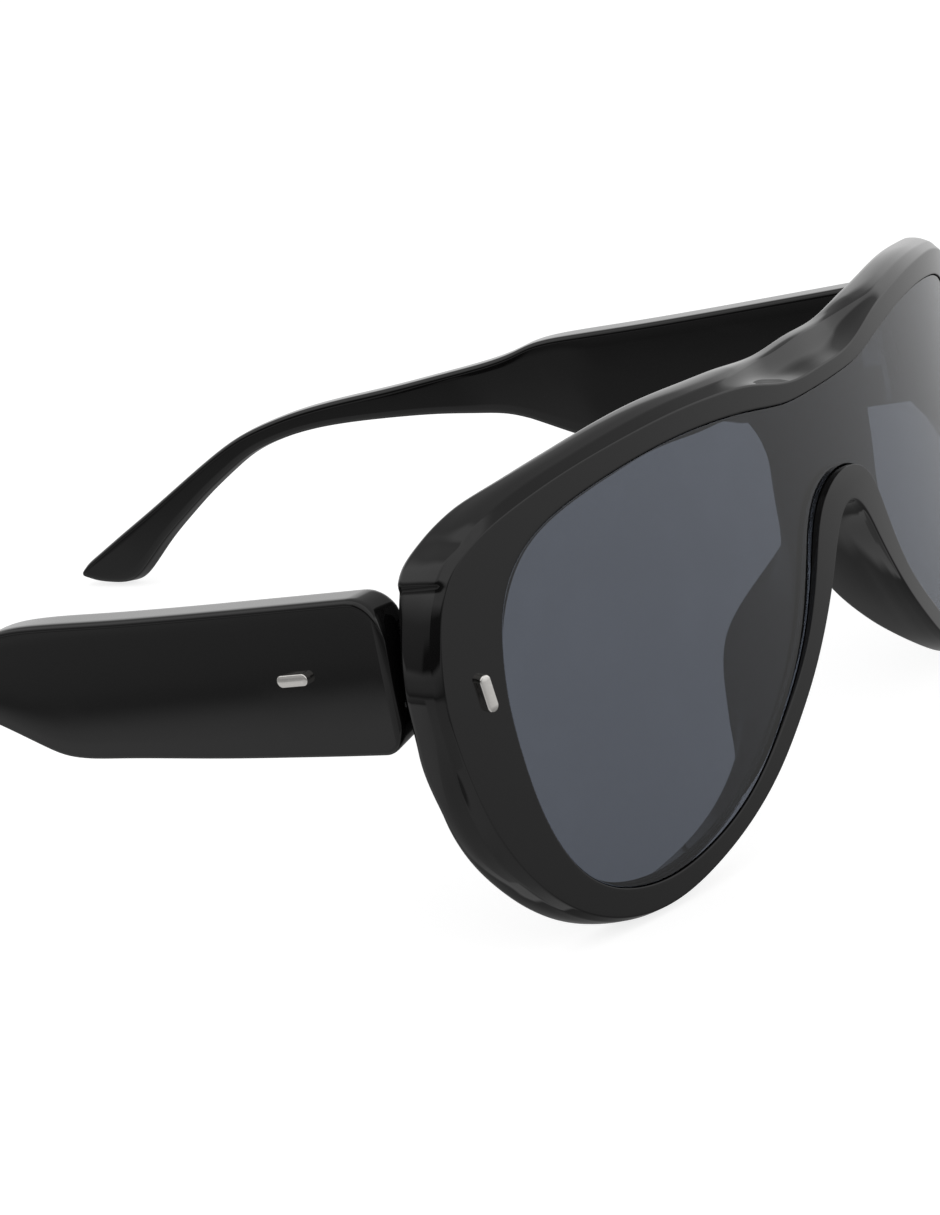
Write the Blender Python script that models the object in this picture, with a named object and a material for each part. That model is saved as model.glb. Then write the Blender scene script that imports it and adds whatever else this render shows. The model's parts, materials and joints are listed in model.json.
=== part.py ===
"""Shield sunglasses: a wrapped one-piece front with one lens over both eyes, and two folding temples.

Lengths are in metres and angles in degrees, +Z is up, and the wearer looks along -Y. The front is
modelled upright in its own frame: x across, z up, y back, with zero at the top of the nose arch. A
stand empty then tips the whole so that it rests on the rims and the temple tips.
"""
import math

import bmesh
import bpy
from mathutils import Matrix, Vector
from mathutils.geometry import delaunay_2d_cdt

# Front: size and wrap
FRONT_HALF_WIDTH = 0.0676
FRONT_HEIGHT = 0.0525
ARCH_HEIGHT = 0.0367
WRAP_RADIUS = 0.1650
RIM_DEPTH = 0.0046
END_DEPTH = 0.00524
BACK_STEP_START_SHARE = 0.74
BACK_STEP_END_SHARE = 0.85
END_BLOCK_TOP = 0.0078
END_BLOCK_BOTTOM = -0.0104
END_BLOCK_BLEND = 0.0070
WALL_FLARE = 0.0038
EDGE_BEVEL_DEPTH = 0.0010
BEVEL_FLARE_SHARE = 0.6
WALL_RING_DEPTH = 0.0026
BACK_EDGE_ROUND = 0.0007
SEAM_EDGE_ROUND = 0.00025
NOSE_LIFT = 0.00045
NOSE_LIFT_SPAN = 0.0300
NOSE_LIFT_BOTTOM = -0.0020
NOSE_LIFT_TOP = 0.0080

# Nose pads moulded into the front
PAD_RISE = 0.0062
PAD_TOP_START = 0.0050
PAD_TOP_END = 0.0130
PAD_FOOT_START = 0.0190
PAD_FOOT_END = 0.0315
PAD_INNER_X = 0.0170
PAD_OUTER_X = 0.0320
PAD_FLARE_SHARE = 0.58
PAD_EYE_EDGE_SHARE = 0.42
PAD_BAND = 0.0062

# Lens and the strip that bonds it
LENS_THICKNESS = 0.0016
LENS_RECESS = 0.0002
LENS_EDGE_GAP = 0.00025
BOND_THICKNESS = 0.0003
BOND_GAP = 0.00025
BOND_INSET = 0.0006
BOND_WIDTH = 0.0008

# Temples
TEMPLE_LENGTH = 0.1438
TEMPLE_HEIGHT = 0.0180
TEMPLE_THICKNESS = 0.0042
TEMPLE_SLIM_THICKNESS = 0.0030
TEMPLE_TIP_THICKNESS = 0.0034
TEMPLE_EDGE_RADIUS = 0.0008
ROUND_LIMIT_SHARE = 0.45
TEMPLE_TOP_CORNER = 0.0042
TEMPLE_BOTTOM_CORNER = 0.0028
END_OVERHANG = 0.00015
TEMPLE_SLOPE = 5.5
TEMPLE_SPLAY = 4.5
TEMPLE_LINE_HEIGHT = -0.00205

# Core wire inside each temple
WIRE_RADIUS = 0.00055
WIRE_BORE_GAP = 0.00025
WIRE_END_GAP = 0.0005
WIRE_LENGTH = 0.1240
WIRE_LAST_STEP_SHARE = 0.01

# Hinges
KNUCKLE_RADIUS = 0.0013
KNUCKLE_COUNT = 5
KNUCKLE_STACK = 0.0080
KNUCKLE_GAP = 0.00022
HINGE_STACK_CENTRE = -0.0013
LEAF_THICKNESS = 0.0009
LUG_STEP = 0.00005
SEAT_GAP = 0.00025
FRONT_LEAF_REACH = 0.0050
FRONT_LEAF_TOP = 0.0036
FRONT_LEAF_BOTTOM = -0.0090
TEMPLE_LEAF_START = 0.0019
TEMPLE_LEAF_END = 0.0155
TEMPLE_LEAF_HEIGHT = 0.0056
SCREW_RADIUS = 0.00052
SCREW_HEAD_RADIUS = 0.00115
SCREW_HEAD_HEIGHT = 0.0007
SCREW_SLOT_WIDTH = 0.0003
SCREW_SLOT_DEPTH = 0.0003
SCREW_CLEARANCE = 0.00025

# Rivet plaques
PLAQUE_LENGTH = 0.0043
PLAQUE_WIDTH = 0.0014
PLAQUE_HEIGHT = 0.0008
PLAQUE_EDGE = 0.0002
RIVET_RADIUS = 0.00036
RIVET_SPACING = 0.0024
RIVET_CLEARANCE = 0.00025
FRONT_PLAQUE_INSET = 0.0046
FRONT_PLAQUE_Z = -0.0050
FRONT_PLAQUE_LEAN = 8.0
TEMPLE_PLAQUE_Y = 0.0119
TEMPLE_PLAQUE_Z = 0.0012
CUT_OVERRUN = 0.0010

# Mesh fineness, as counts, and the spacing of points inside a flat
SPAN_STEPS = 3
CORNER_STEPS = 3
PIN_SIDES = 12
BORE_SIDES = 8
PLATE_SPACING = 0.0042
PLATE_MARGIN_SHARE = 0.55
ROUND_STEPS = 6

# Outline of the front face, from the bridge round to the nose arch: shares of the half width and
# of the height above the lowest point. The wall behind it flares by shares of WALL_FLARE.
OUTLINE_SHARES = (
    (0.000, 0.934), (0.082, 0.934), (0.157, 0.949), (0.232, 0.974), (0.331, 0.992), (0.454, 1.000),
    (0.586, 0.993), (0.717, 0.974), (0.826, 0.942), (0.920, 0.893), (0.967, 0.828), (0.990, 0.733),
    (1.000, 0.622), (0.993, 0.499), (0.971, 0.365), (0.923, 0.212), (0.850, 0.093), (0.756, 0.021),
    (0.654, 0.000), (0.554, 0.022), (0.454, 0.067), (0.354, 0.135), (0.268, 0.225), (0.202, 0.308),
    (0.146, 0.395), (0.099, 0.482), (0.067, 0.549), (0.034, 0.599), (0.000, 0.617),
)
FLARE_SHARES = (
    1.00, 0.95, 0.79, 0.61, 0.47, 0.45, 0.42, 0.38, 0.41, 0.10, -0.08, -0.05, 0.02, 0.06, 0.44,
    0.36, 0.25, 0.21, 0.18, 0.16, 0.13, 0.12, 0.11, 0.09, 0.08, 0.08, 0.08, 0.08, 0.08,
)
# Lens seam, point for point beside the outline
SEAM_SHARES = (
    (0.000, 0.897), (0.078, 0.898), (0.146, 0.902), (0.232, 0.921), (0.331, 0.939), (0.454, 0.948),
    (0.569, 0.941), (0.686, 0.920), (0.779, 0.884), (0.841, 0.825), (0.873, 0.750), (0.887, 0.669),
    (0.893, 0.571), (0.888, 0.457), (0.873, 0.328), (0.835, 0.190), (0.776, 0.103), (0.705, 0.065),
    (0.639, 0.056), (0.562, 0.069), (0.477, 0.103), (0.392, 0.160), (0.312, 0.243), (0.255, 0.311),
    (0.206, 0.390), (0.170, 0.471), (0.143, 0.549), (0.098, 0.650), (0.000, 0.699),
)
# Eye opening behind the lens, a closed loop from its upper nose corner outwards and round
OPENING_SHARES = (
    (0.222, 0.886), (0.316, 0.908), (0.468, 0.917), (0.590, 0.909), (0.697, 0.885), (0.782, 0.846),
    (0.825, 0.777), (0.841, 0.691), (0.843, 0.574), (0.842, 0.451), (0.836, 0.329), (0.803, 0.210),
    (0.753, 0.134), (0.697, 0.105), (0.636, 0.100), (0.567, 0.112), (0.488, 0.146), (0.414, 0.196),
    (0.344, 0.271), (0.292, 0.341), (0.255, 0.425), (0.226, 0.517), (0.191, 0.600), (0.170, 0.685),
    (0.170, 0.764), (0.187, 0.840),
)
# Temple edges: shares of the length from the joint, and heights as shares of the temple height
TEMPLE_TOP_SHARES = (
    (0.000, 0.516), (0.090, 0.522), (0.190, 0.530), (0.290, 0.546), (0.350, 0.560), (0.376, 0.558),
    (0.395, 0.541), (0.413, 0.508), (0.448, 0.464), (0.500, 0.433), (0.570, 0.400), (0.640, 0.378),
    (0.688, 0.344), (0.722, 0.300), (0.757, 0.233), (0.804, 0.083), (0.845, -0.072), (0.893, -0.256),
    (0.938, -0.422), (0.978, -0.572), (0.993, -0.640), (1.000, -0.690),
)
TEMPLE_BOTTOM_SHARES = (
    (0.000, -0.472), (0.050, -0.461), (0.112, -0.444), (0.203, -0.411), (0.300, -0.367), (0.334, -0.350),
    (0.358, -0.311), (0.380, -0.233), (0.408, -0.122), (0.434, -0.033), (0.470, 0.028), (0.512, 0.083),
    (0.568, 0.133), (0.624, 0.164), (0.672, 0.164), (0.712, 0.128), (0.754, 0.039), (0.782, -0.067),
    (0.817, -0.217), (0.852, -0.389), (0.887, -0.578), (0.917, -0.765), (0.932, -0.840), (0.947, -0.862),
    (0.968, -0.832), (0.987, -0.778), (1.000, -0.712),
)
TEMPLE_THICKNESS_SHARES = ((0.0, 0.0), (0.34, 0.0), (0.47, 1.0), (0.76, 1.0), (0.93, 2.0), (1.0, 2.0))
# Stations along the temple, closer together where its edges turn
TEMPLE_STATION_SHARES = (
    0.000, 0.0016, 0.0050, 0.010, 0.016, 0.023, 0.032, 0.060, 0.110, 0.170, 0.230, 0.290, 0.325, 0.345,
    0.360, 0.374, 0.386, 0.398, 0.412, 0.430, 0.450, 0.475, 0.510, 0.550, 0.595, 0.640, 0.675, 0.705,
    0.735, 0.765, 0.795, 0.825, 0.855, 0.885, 0.908, 0.924, 0.938, 0.955, 0.972, 0.985, 0.994, 1.000,
)
WIRE_PATH_SHARES = (
    (0.000, -0.180), (0.100, -0.180), (0.250, -0.100), (0.380, 0.080), (0.460, 0.240), (0.540, 0.265),
    (0.620, 0.275), (0.680, 0.250), (0.730, 0.175), (0.780, 0.050), (0.830, -0.140), (0.872, -0.330),
)

# Places that follow from the sizes
LENS_REAR = LENS_RECESS + LENS_THICKNESS
FLOOR_DEPTH = LENS_REAR + BOND_THICKNESS + BOND_GAP + BOND_GAP
JOINT_PLANE = WRAP_RADIUS - math.sqrt(WRAP_RADIUS ** 2 - FRONT_HALF_WIDTH ** 2) + END_DEPTH
TEMPLE_OUTER_X = FRONT_HALF_WIDTH + END_OVERHANG
FRONT_PLAQUE_X = FRONT_HALF_WIDTH - FRONT_PLAQUE_INSET
HINGE_X = TEMPLE_OUTER_X - TEMPLE_THICKNESS - SEAT_GAP - KNUCKLE_RADIUS
HINGE_Y = JOINT_PLANE + SEAT_GAP + KNUCKLE_RADIUS
SIDES = (("right", -1), ("left", 1))


def smooth(value, start, end):
    """Ease from 0 at start to 1 at end."""
    share = min(max((value - start) / (end - start), 0.0), 1.0)
    return share * share * (3.0 - 2.0 * share)


def curve_through(points, steps, closed=False):
    """Sample a smooth curve through points, with steps samples to each span."""
    count = len(points)
    spans = count if closed else count - 1
    samples = []
    for index in range(spans):
        if closed:
            a, b, c, d = (points[(index + shift) % count] for shift in (-1, 0, 1, 2))
        else:
            a, b = points[max(index - 1, 0)], points[index]
            c, d = points[index + 1], points[min(index + 2, count - 1)]
        for step in range(steps):
            t = step / steps
            samples.append(tuple(
                0.5 * (2.0 * q + (r - p) * t + (2.0 * p - 5.0 * q + 4.0 * r - s) * t * t
                       + (3.0 * q - p - 3.0 * r + s) * t ** 3)
                for p, q, r, s in zip(a, b, c, d)))
    if not closed:
        samples.append(tuple(points[-1]))
    return samples


def profile_at(table, share):
    """Read a smooth height profile at a share of the length."""
    for index in range(len(table) - 1):
        low, high = table[index], table[index + 1]
        if share <= high[0]:
            before = table[max(index - 1, 0)]
            after = table[min(index + 2, len(table) - 1)]
            width = high[0] - low[0]
            t = max(share - low[0], 0.0) / width
            rise_low = (high[1] - before[1]) / (high[0] - before[0]) * width
            rise_high = (after[1] - low[1]) / (after[0] - low[0]) * width
            return (low[1] * (1 + 2 * t) * (1 - t) ** 2 + rise_low * t * (1 - t) ** 2
                    + high[1] * t * t * (3 - 2 * t) - rise_high * t * t * (1 - t))
    return table[-1][1]


def face_point(x_share, z_share):
    """Place shares of the half width and height on the front's own x and z."""
    return (x_share * FRONT_HALF_WIDTH, z_share * FRONT_HEIGHT - ARCH_HEIGHT)


def mirrored_loop(half):
    """Close a half outline, given from the bridge to the arch, with its mirror image."""
    return half + [(-row[0],) + tuple(row[1:]) for row in half[-2:0:-1]]


def half_curve(rows):
    """Smooth a half outline so that it crosses the middle level."""
    first, last = rows[1], rows[-2]
    padded = [(-first[0],) + tuple(first[1:])] + list(rows) + [(-last[0],) + tuple(last[1:])]
    samples = curve_through(padded, SPAN_STEPS)
    return samples[SPAN_STEPS:len(samples) - SPAN_STEPS]


def outward_normals(loop):
    """Give the unit normal of each point of a closed loop, pointing away from its inside."""
    count = len(loop)
    area = sum(loop[i][0] * loop[(i + 1) % count][1] - loop[(i + 1) % count][0] * loop[i][1]
               for i in range(count))
    turn = 1.0 if area > 0.0 else -1.0
    normals = []
    for i in range(count):
        before, after = loop[i - 1], loop[(i + 1) % count]
        along = Vector((after[0] - before[0], after[1] - before[1])).normalized()
        normals.append((along.y * turn, -along.x * turn))
    return normals


def offset_loop(loop, distances):
    """Move each point of a loop outwards by its distance."""
    return [(p[0] + n[0] * d, p[1] + n[1] * d) for p, n, d in zip(loop, outward_normals(loop), distances)]


def front_y(x):
    """Depth of the wrapped front surface at x."""
    return WRAP_RADIUS - math.sqrt(WRAP_RADIUS ** 2 - x * x)


def pad_weight(x, z):
    """How much a nose pad shapes the place (x, z), from 0 to 1."""
    upper = smooth(-z, PAD_TOP_START, PAD_TOP_END)
    lower = 1.0 - smooth(-z, PAD_FOOT_START, PAD_FOOT_END)
    near = 1.0 - smooth(abs(x), PAD_INNER_X, PAD_OUTER_X)
    return upper * lower * near


def nose_lift(x, z):
    """How far the rim round the nose arch stands in front of the wrapped face."""
    near = 1.0 - smooth(abs(x), 0.0, NOSE_LIFT_SPAN)
    return NOSE_LIFT * near * (1.0 - smooth(z, NOSE_LIFT_BOTTOM, NOSE_LIFT_TOP))


def back_depth(x, z, across=0.0):
    """Depth of the back surface; across runs from 0 at the outer edge to 1 at the eye opening."""
    flat = JOINT_PLANE - front_y(x)
    step = smooth(abs(x), BACK_STEP_START_SHARE * FRONT_HALF_WIDTH,
                  BACK_STEP_END_SHARE * FRONT_HALF_WIDTH)
    step *= 1.0 - smooth(z, END_BLOCK_TOP, END_BLOCK_TOP + END_BLOCK_BLEND)
    step *= smooth(z, END_BLOCK_BOTTOM - END_BLOCK_BLEND, END_BLOCK_BOTTOM)
    rise = PAD_RISE * pad_weight(x, z) * (1.0 - (1.0 - PAD_EYE_EDGE_SHARE) * across)
    return min(RIM_DEPTH, flat) * (1.0 - step) + flat * step + rise


def front_place(x, z, depth):
    """Place a point of the front in its own frame; the pads lean outwards as they go back."""
    lean = PAD_FLARE_SHARE * pad_weight(x, z) * max(depth - WALL_RING_DEPTH, 0.0)
    return Vector((x + math.copysign(lean, x), front_y(x) + depth, z))


def wall_ring(mesh, loop, outline, depth_of):
    """Add a ring of the outer wall, whose depth is measured behind the outline's own points."""
    ring = []
    for (x, z), (edge_x, edge_z) in zip(loop, outline):
        point = front_place(x, z, depth_of(edge_x, edge_z))
        point.y += front_y(edge_x) - front_y(x)
        ring.append(mesh.verts.new(point))
    return ring


def inside(point, loop):
    """Tell whether a point lies inside a closed loop."""
    x, z = point
    hit = False
    for (x1, z1), (x2, z2) in zip(loop, loop[1:] + loop[:1]):
        if (z1 > z) != (z2 > z) and x < (x2 - x1) * (z - z1) / (z2 - z1) + x1:
            hit = not hit
    return hit


def edge_distance(point, loop):
    """Distance from a point to the nearest corner of a loop."""
    return min(math.hypot(point[0] - p[0], point[1] - p[1]) for p in loop)


def strip(mesh, ring_a, ring_b):
    """Join two rings of vertices of equal length with quads."""
    count = len(ring_a)
    for i in range(count):
        j = (i + 1) % count
        mesh.faces.new((ring_a[i], ring_a[j], ring_b[j], ring_b[i]))


def fill(mesh, loops, rings, place):
    """Fill a flat area between loops with triangles and place its inner points with place(x, z)."""
    flat_points = [Vector(p) for loop in loops for p in loop]
    owners = [vertex for ring in rings for vertex in ring]
    edges = []
    start = 0
    for loop in loops:
        edges += [(start + i, start + (i + 1) % len(loop)) for i in range(len(loop))]
        start += len(loop)
    columns = int(2.0 * (FRONT_HALF_WIDTH + WALL_FLARE) / PLATE_SPACING) + 1
    rows = int((FRONT_HEIGHT + WALL_FLARE) / PLATE_SPACING) + 2
    for column in range(columns + 1):
        for row in range(rows + 1):
            x = (column - columns / 2.0) * PLATE_SPACING
            z = row * PLATE_SPACING - ARCH_HEIGHT
            here = (x, z)
            if not inside(here, loops[0]) or any(inside(here, hole) for hole in loops[1:]):
                continue
            if min(edge_distance(here, loop) for loop in loops) < PLATE_SPACING * PLATE_MARGIN_SHARE:
                continue
            flat_points.append(Vector(here))
            owners.append(mesh.verts.new(place(x, z)))
    made = delaunay_2d_cdt(flat_points, edges, [], 0, 1e-9)
    for face in made[2]:
        corners = [made[0][i] for i in face]
        middle = (sum(c[0] for c in corners) / 3.0, sum(c[1] for c in corners) / 3.0)
        if inside(middle, loops[0]) and not any(inside(middle, hole) for hole in loops[1:]):
            mesh.faces.new([owners[made[3][i][0]] for i in face])


def ring_of(mesh, points):
    """Add a ring of vertices."""
    return [mesh.verts.new(point) for point in points]


def finish(name, mesh, material, parent=None, smooth_shaded=True):
    """Turn a closed bmesh into a named object with its faces out."""
    bmesh.ops.recalc_face_normals(mesh, faces=mesh.faces)
    if mesh.calc_volume(signed=True) < 0.0:
        bmesh.ops.reverse_faces(mesh, faces=mesh.faces)
    data = bpy.data.meshes.new(name)
    mesh.to_mesh(data)
    mesh.free()
    if smooth_shaded:
        data.shade_smooth()
        data.set_sharp_from_angle(angle=math.radians(30.0))
    data.materials.append(material)
    result = bpy.data.objects.new(name, data)
    bpy.context.collection.objects.link(result)
    result.parent = parent
    return result


def make_material(name, colour, roughness, metallic=0.0, alpha=1.0):
    """Make a Principled material."""
    material = bpy.data.materials.new(name)
    material.use_nodes = True
    shader = material.node_tree.nodes["Principled BSDF"]
    shader.inputs["Base Color"].default_value = (*colour, 1.0)
    shader.inputs["Roughness"].default_value = roughness
    shader.inputs["Metallic"].default_value = metallic
    shader.inputs["Alpha"].default_value = alpha
    return material


def cut(target, cutter):
    """Cut one object out of another and keep the cutter as a guide only."""
    cutter.hide_render = True
    cutter.display_type = "WIRE"
    modifier = target.modifiers.new("cut_" + cutter.name, "BOOLEAN")
    modifier.operation = "DIFFERENCE"
    modifier.object = cutter


def tube(mesh, start, end, radius, sides):
    """Add a closed cylinder from start to end."""
    axis = (end - start).normalized()
    turn = axis.to_track_quat("Z", "Y").to_matrix()
    rings = []
    for centre in (start, end):
        rings.append(ring_of(mesh, [
            centre + turn @ Vector((radius * math.cos(a), radius * math.sin(a), 0.0))
            for a in (2.0 * math.pi * (i + 0.5) / sides for i in range(sides))]))
    strip(mesh, rings[0], rings[1])
    for ring in rings:
        mesh.faces.new(ring)


def add_box(mesh, low, high, turn=None):
    """Add a closed box between two corners, turned if a matrix is given."""
    corners = [Vector((x, y, z)) for x in (low[0], high[0]) for y in (low[1], high[1])
               for z in (low[2], high[2])]
    if turn:
        corners = [turn @ corner for corner in corners]
    v = ring_of(mesh, corners)
    for face in ((0, 1, 3, 2), (4, 6, 7, 5), (0, 4, 5, 1), (2, 3, 7, 6), (0, 2, 6, 4), (1, 5, 7, 3)):
        mesh.faces.new([v[i] for i in face])


def joined(name, pieces, material, parent):
    """Unite several closed bodies into one object."""
    base = finish(name, pieces[0], material, parent)
    for index, piece in enumerate(pieces[1:]):
        guide = finish(f"{name}_guide_{index}", piece, material, parent)
        guide.hide_render = True
        guide.display_type = "WIRE"
        modifier = base.modifiers.new(f"unite_{index}", "BOOLEAN")
        modifier.operation = "UNION"
        modifier.object = guide
    return base


def build_loops():
    """Work out the outline, the seam and the eye openings as closed loops of (x, z)."""
    half = half_curve([face_point(*row) + (flare * WALL_FLARE,)
                       for row, flare in zip(OUTLINE_SHARES, FLARE_SHARES)])
    outline = mirrored_loop(half)
    seam = mirrored_loop(half_curve([face_point(*row) for row in SEAM_SHARES]))
    left_eye = curve_through([face_point(*row) for row in OPENING_SHARES], SPAN_STEPS - 1, closed=True)
    right_eye = [(-x, z) for x, z in left_eye]
    return [row[:2] for row in outline], [row[2] for row in outline], seam, (left_eye, right_eye)


def build_front(material, stand):
    """Build the frame front: rim, ledge, bridge and nose pads in one body."""
    outline, flares, seam, eyes = build_loops()
    mesh = bmesh.new()
    wall_foot = offset_loop(seam, [0.0] * len(seam))
    seam_edge = offset_loop(seam, [SEAM_EDGE_ROUND] * len(seam))
    bevel = offset_loop(outline, [BEVEL_FLARE_SHARE * flare for flare in flares])
    wall = offset_loop(outline, flares)
    back = offset_loop(outline, [flare - BACK_EDGE_ROUND for flare in flares])
    floor_ring = ring_of(mesh, [front_place(x, z, FLOOR_DEPTH) for x, z in wall_foot])
    rings = [floor_ring]
    rings.append(ring_of(mesh, [front_place(x, z, SEAM_EDGE_ROUND - nose_lift(x, z)) for x, z in wall_foot]))
    rings.append(ring_of(mesh, [front_place(x, z, -nose_lift(x, z)) for x, z in seam_edge]))
    rings.append(ring_of(mesh, [front_place(x, z, -nose_lift(x, z)) for x, z in outline]))
    rings.append(wall_ring(mesh, bevel, outline, lambda x, z: EDGE_BEVEL_DEPTH - nose_lift(x, z)))
    rings.append(wall_ring(mesh, wall, outline, lambda x, z: WALL_RING_DEPTH))
    rings.append(wall_ring(mesh, wall, outline, lambda x, z: back_depth(x, z) - BACK_EDGE_ROUND))
    back_ring = wall_ring(mesh, back, outline, back_depth)
    rings.append(back_ring)
    for first, second in zip(rings, rings[1:]):
        strip(mesh, first, second)
    eye_front, eye_back = [], []
    for eye in eyes:
        eye_front.append(ring_of(mesh, [front_place(x, z, FLOOR_DEPTH) for x, z in eye]))
        eye_back.append(ring_of(mesh, [front_place(x, z, back_depth(x, z, 1.0)) for x, z in eye]))
        strip(mesh, eye_front[-1], eye_back[-1])
    fill(mesh, [wall_foot] + list(eyes), [floor_ring] + eye_front,
         lambda x, z: front_place(x, z, FLOOR_DEPTH))

    def back_place(x, z):
        across = smooth(PAD_BAND - min(edge_distance((x, z), eye) for eye in eyes), 0.0, PAD_BAND)
        return front_place(x, z, back_depth(x, z, across))

    fill(mesh, [back] + list(eyes), [back_ring] + eye_back, back_place)
    return finish("front_frame", mesh, material, stand)


def build_lens(material, stand):
    """Build the one-piece lens that drops into the seam."""
    seam = build_loops()[2]
    mesh = bmesh.new()
    edge = offset_loop(seam, [-LENS_EDGE_GAP] * len(seam))
    face = ring_of(mesh, [front_place(x, z, LENS_RECESS) for x, z in edge])
    rear = ring_of(mesh, [front_place(x, z, LENS_REAR) for x, z in edge])
    strip(mesh, face, rear)
    fill(mesh, [edge], [face], lambda x, z: front_place(x, z, LENS_RECESS))
    fill(mesh, [edge], [rear], lambda x, z: front_place(x, z, LENS_REAR))
    return finish("shield_lens", mesh, material, stand)


def build_bond(material, stand):
    """Build the thin strip that bonds the lens to its ledge."""
    seam = build_loops()[2]
    mesh = bmesh.new()
    outer = offset_loop(seam, [-BOND_INSET] * len(seam))
    inner = offset_loop(seam, [-(BOND_INSET + BOND_WIDTH)] * len(seam))
    rings = []
    for loop, lift in ((outer, 0.0), (outer, BOND_THICKNESS), (inner, BOND_THICKNESS), (inner, 0.0)):
        rings.append(ring_of(mesh, [
            front_place(x, z, LENS_REAR + BOND_GAP + lift) for x, z in loop]))
    for first, second in zip(rings, rings[1:] + rings[:1]):
        strip(mesh, first, second)
    return finish("lens_bonding_strip", mesh, material, stand)


def temple_thickness(share):
    """Thickness of the temple at a share of its length."""
    sizes = (TEMPLE_THICKNESS, TEMPLE_SLIM_THICKNESS, TEMPLE_TIP_THICKNESS)
    level = profile_at(TEMPLE_THICKNESS_SHARES, share)
    low = min(int(level), 1)
    return sizes[low] + (sizes[low + 1] - sizes[low]) * (level - low)


def corner_drop(distance, radius):
    """How far a rounded corner has fallen at a distance from the end."""
    if distance >= radius:
        return 0.0
    return radius - math.sqrt(radius * radius - (radius - distance) ** 2)


def temple_edges(share):
    """Lower and upper edge of the temple at a share of its length."""
    distance = share * TEMPLE_LENGTH
    top = profile_at(TEMPLE_TOP_SHARES, share) * TEMPLE_HEIGHT - corner_drop(distance, TEMPLE_TOP_CORNER)
    bottom = (profile_at(TEMPLE_BOTTOM_SHARES, share) * TEMPLE_HEIGHT
              + corner_drop(distance, TEMPLE_BOTTOM_CORNER))
    return bottom, top


def end_cut(y, x, z):
    """Shift of the temple's front end, so that it lies against the joint plane."""
    slant = (x * math.tan(math.radians(TEMPLE_SPLAY)) - z * math.tan(math.radians(TEMPLE_SLOPE)))
    return slant * (1.0 - smooth(y, 0.0, TEMPLE_HEIGHT))


def temple_section(share, side):
    """Rounded section of the temple, as points round it, in the frame of its hinge."""
    bottom, top = temple_edges(share)
    thickness = temple_thickness(share)
    distance = share * TEMPLE_LENGTH
    inset = corner_drop(distance, TEMPLE_EDGE_RADIUS)
    inset += corner_drop(TEMPLE_LENGTH - distance, TEMPLE_EDGE_RADIUS)
    outer = TEMPLE_OUTER_X - HINGE_X
    x_low, x_high = outer - thickness + inset, outer - inset
    z_low, z_high = bottom + inset, top - inset
    if z_high - z_low < TEMPLE_EDGE_RADIUS:
        middle = (z_high + z_low) / 2.0
        z_low, z_high = middle - TEMPLE_EDGE_RADIUS / 2.0, middle + TEMPLE_EDGE_RADIUS / 2.0
    radius = min(TEMPLE_EDGE_RADIUS, ROUND_LIMIT_SHARE * (x_high - x_low),
                 ROUND_LIMIT_SHARE * (z_high - z_low))
    points = []
    for corner, (x, z) in enumerate(((x_high, z_high), (x_low, z_high), (x_low, z_low), (x_high, z_low))):
        cx = x - radius if corner in (0, 3) else x + radius
        cz = z - radius if corner in (0, 1) else z + radius
        for step in range(CORNER_STEPS + 1):
            angle = math.pi / 2.0 * (corner + step / CORNER_STEPS)
            px, pz = cx + radius * math.cos(angle), cz + radius * math.sin(angle)
            y = distance - KNUCKLE_RADIUS + end_cut(distance, px, pz)
            points.append(Vector((side * px, y, pz)))
    return points


def wire_centre(share, side):
    """Middle of the core wire at a share of the temple length."""
    z = profile_at(WIRE_PATH_SHARES, share) * TEMPLE_HEIGHT
    x = TEMPLE_OUTER_X - HINGE_X - temple_thickness(share) / 2.0
    y = share * TEMPLE_LENGTH - KNUCKLE_RADIUS
    return Vector((side * x, y, z))


def wire_ring(share, side, radius, cut_end=False):
    """Ring of points round the core wire's middle, upright across the temple."""
    centre = wire_centre(share, side)
    points = []
    for index in range(BORE_SIDES):
        angle = 2.0 * math.pi * (index + 0.5) / BORE_SIDES
        dx, dz = radius * math.cos(angle), radius * math.sin(angle)
        dy = end_cut(0.0, side * centre.x + dx, centre.z + dz) if cut_end else 0.0
        points.append(centre + Vector((side * dx, dy, dz)))
    return points


def bore_stations():
    """Shares of the temple length at which the bore and the wire have rings."""
    stop = WIRE_LENGTH / TEMPLE_LENGTH
    return [share for share in TEMPLE_STATION_SHARES[6:] if share < stop - WIRE_LAST_STEP_SHARE] + [stop]


def build_temple(name, side, material, pivot):
    """Build a temple as a loft of rounded sections, with the bore of its core wire."""
    mesh = bmesh.new()
    rings = [ring_of(mesh, temple_section(share, side)) for share in TEMPLE_STATION_SHARES]
    for first, second in zip(rings, rings[1:]):
        strip(mesh, first, second)
    mesh.faces.new(rings[-1])
    radius = WIRE_RADIUS + WIRE_BORE_GAP
    bore = [ring_of(mesh, wire_ring(0.0, side, radius, cut_end=True))]
    bore += [ring_of(mesh, wire_ring(share, side, radius)) for share in bore_stations()]
    for first, second in zip(bore, bore[1:]):
        strip(mesh, first, second)
    mesh.faces.new(bore[-1])
    fill_end(mesh, rings[0], bore[0])
    return finish(name, mesh, material, pivot)


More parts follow.
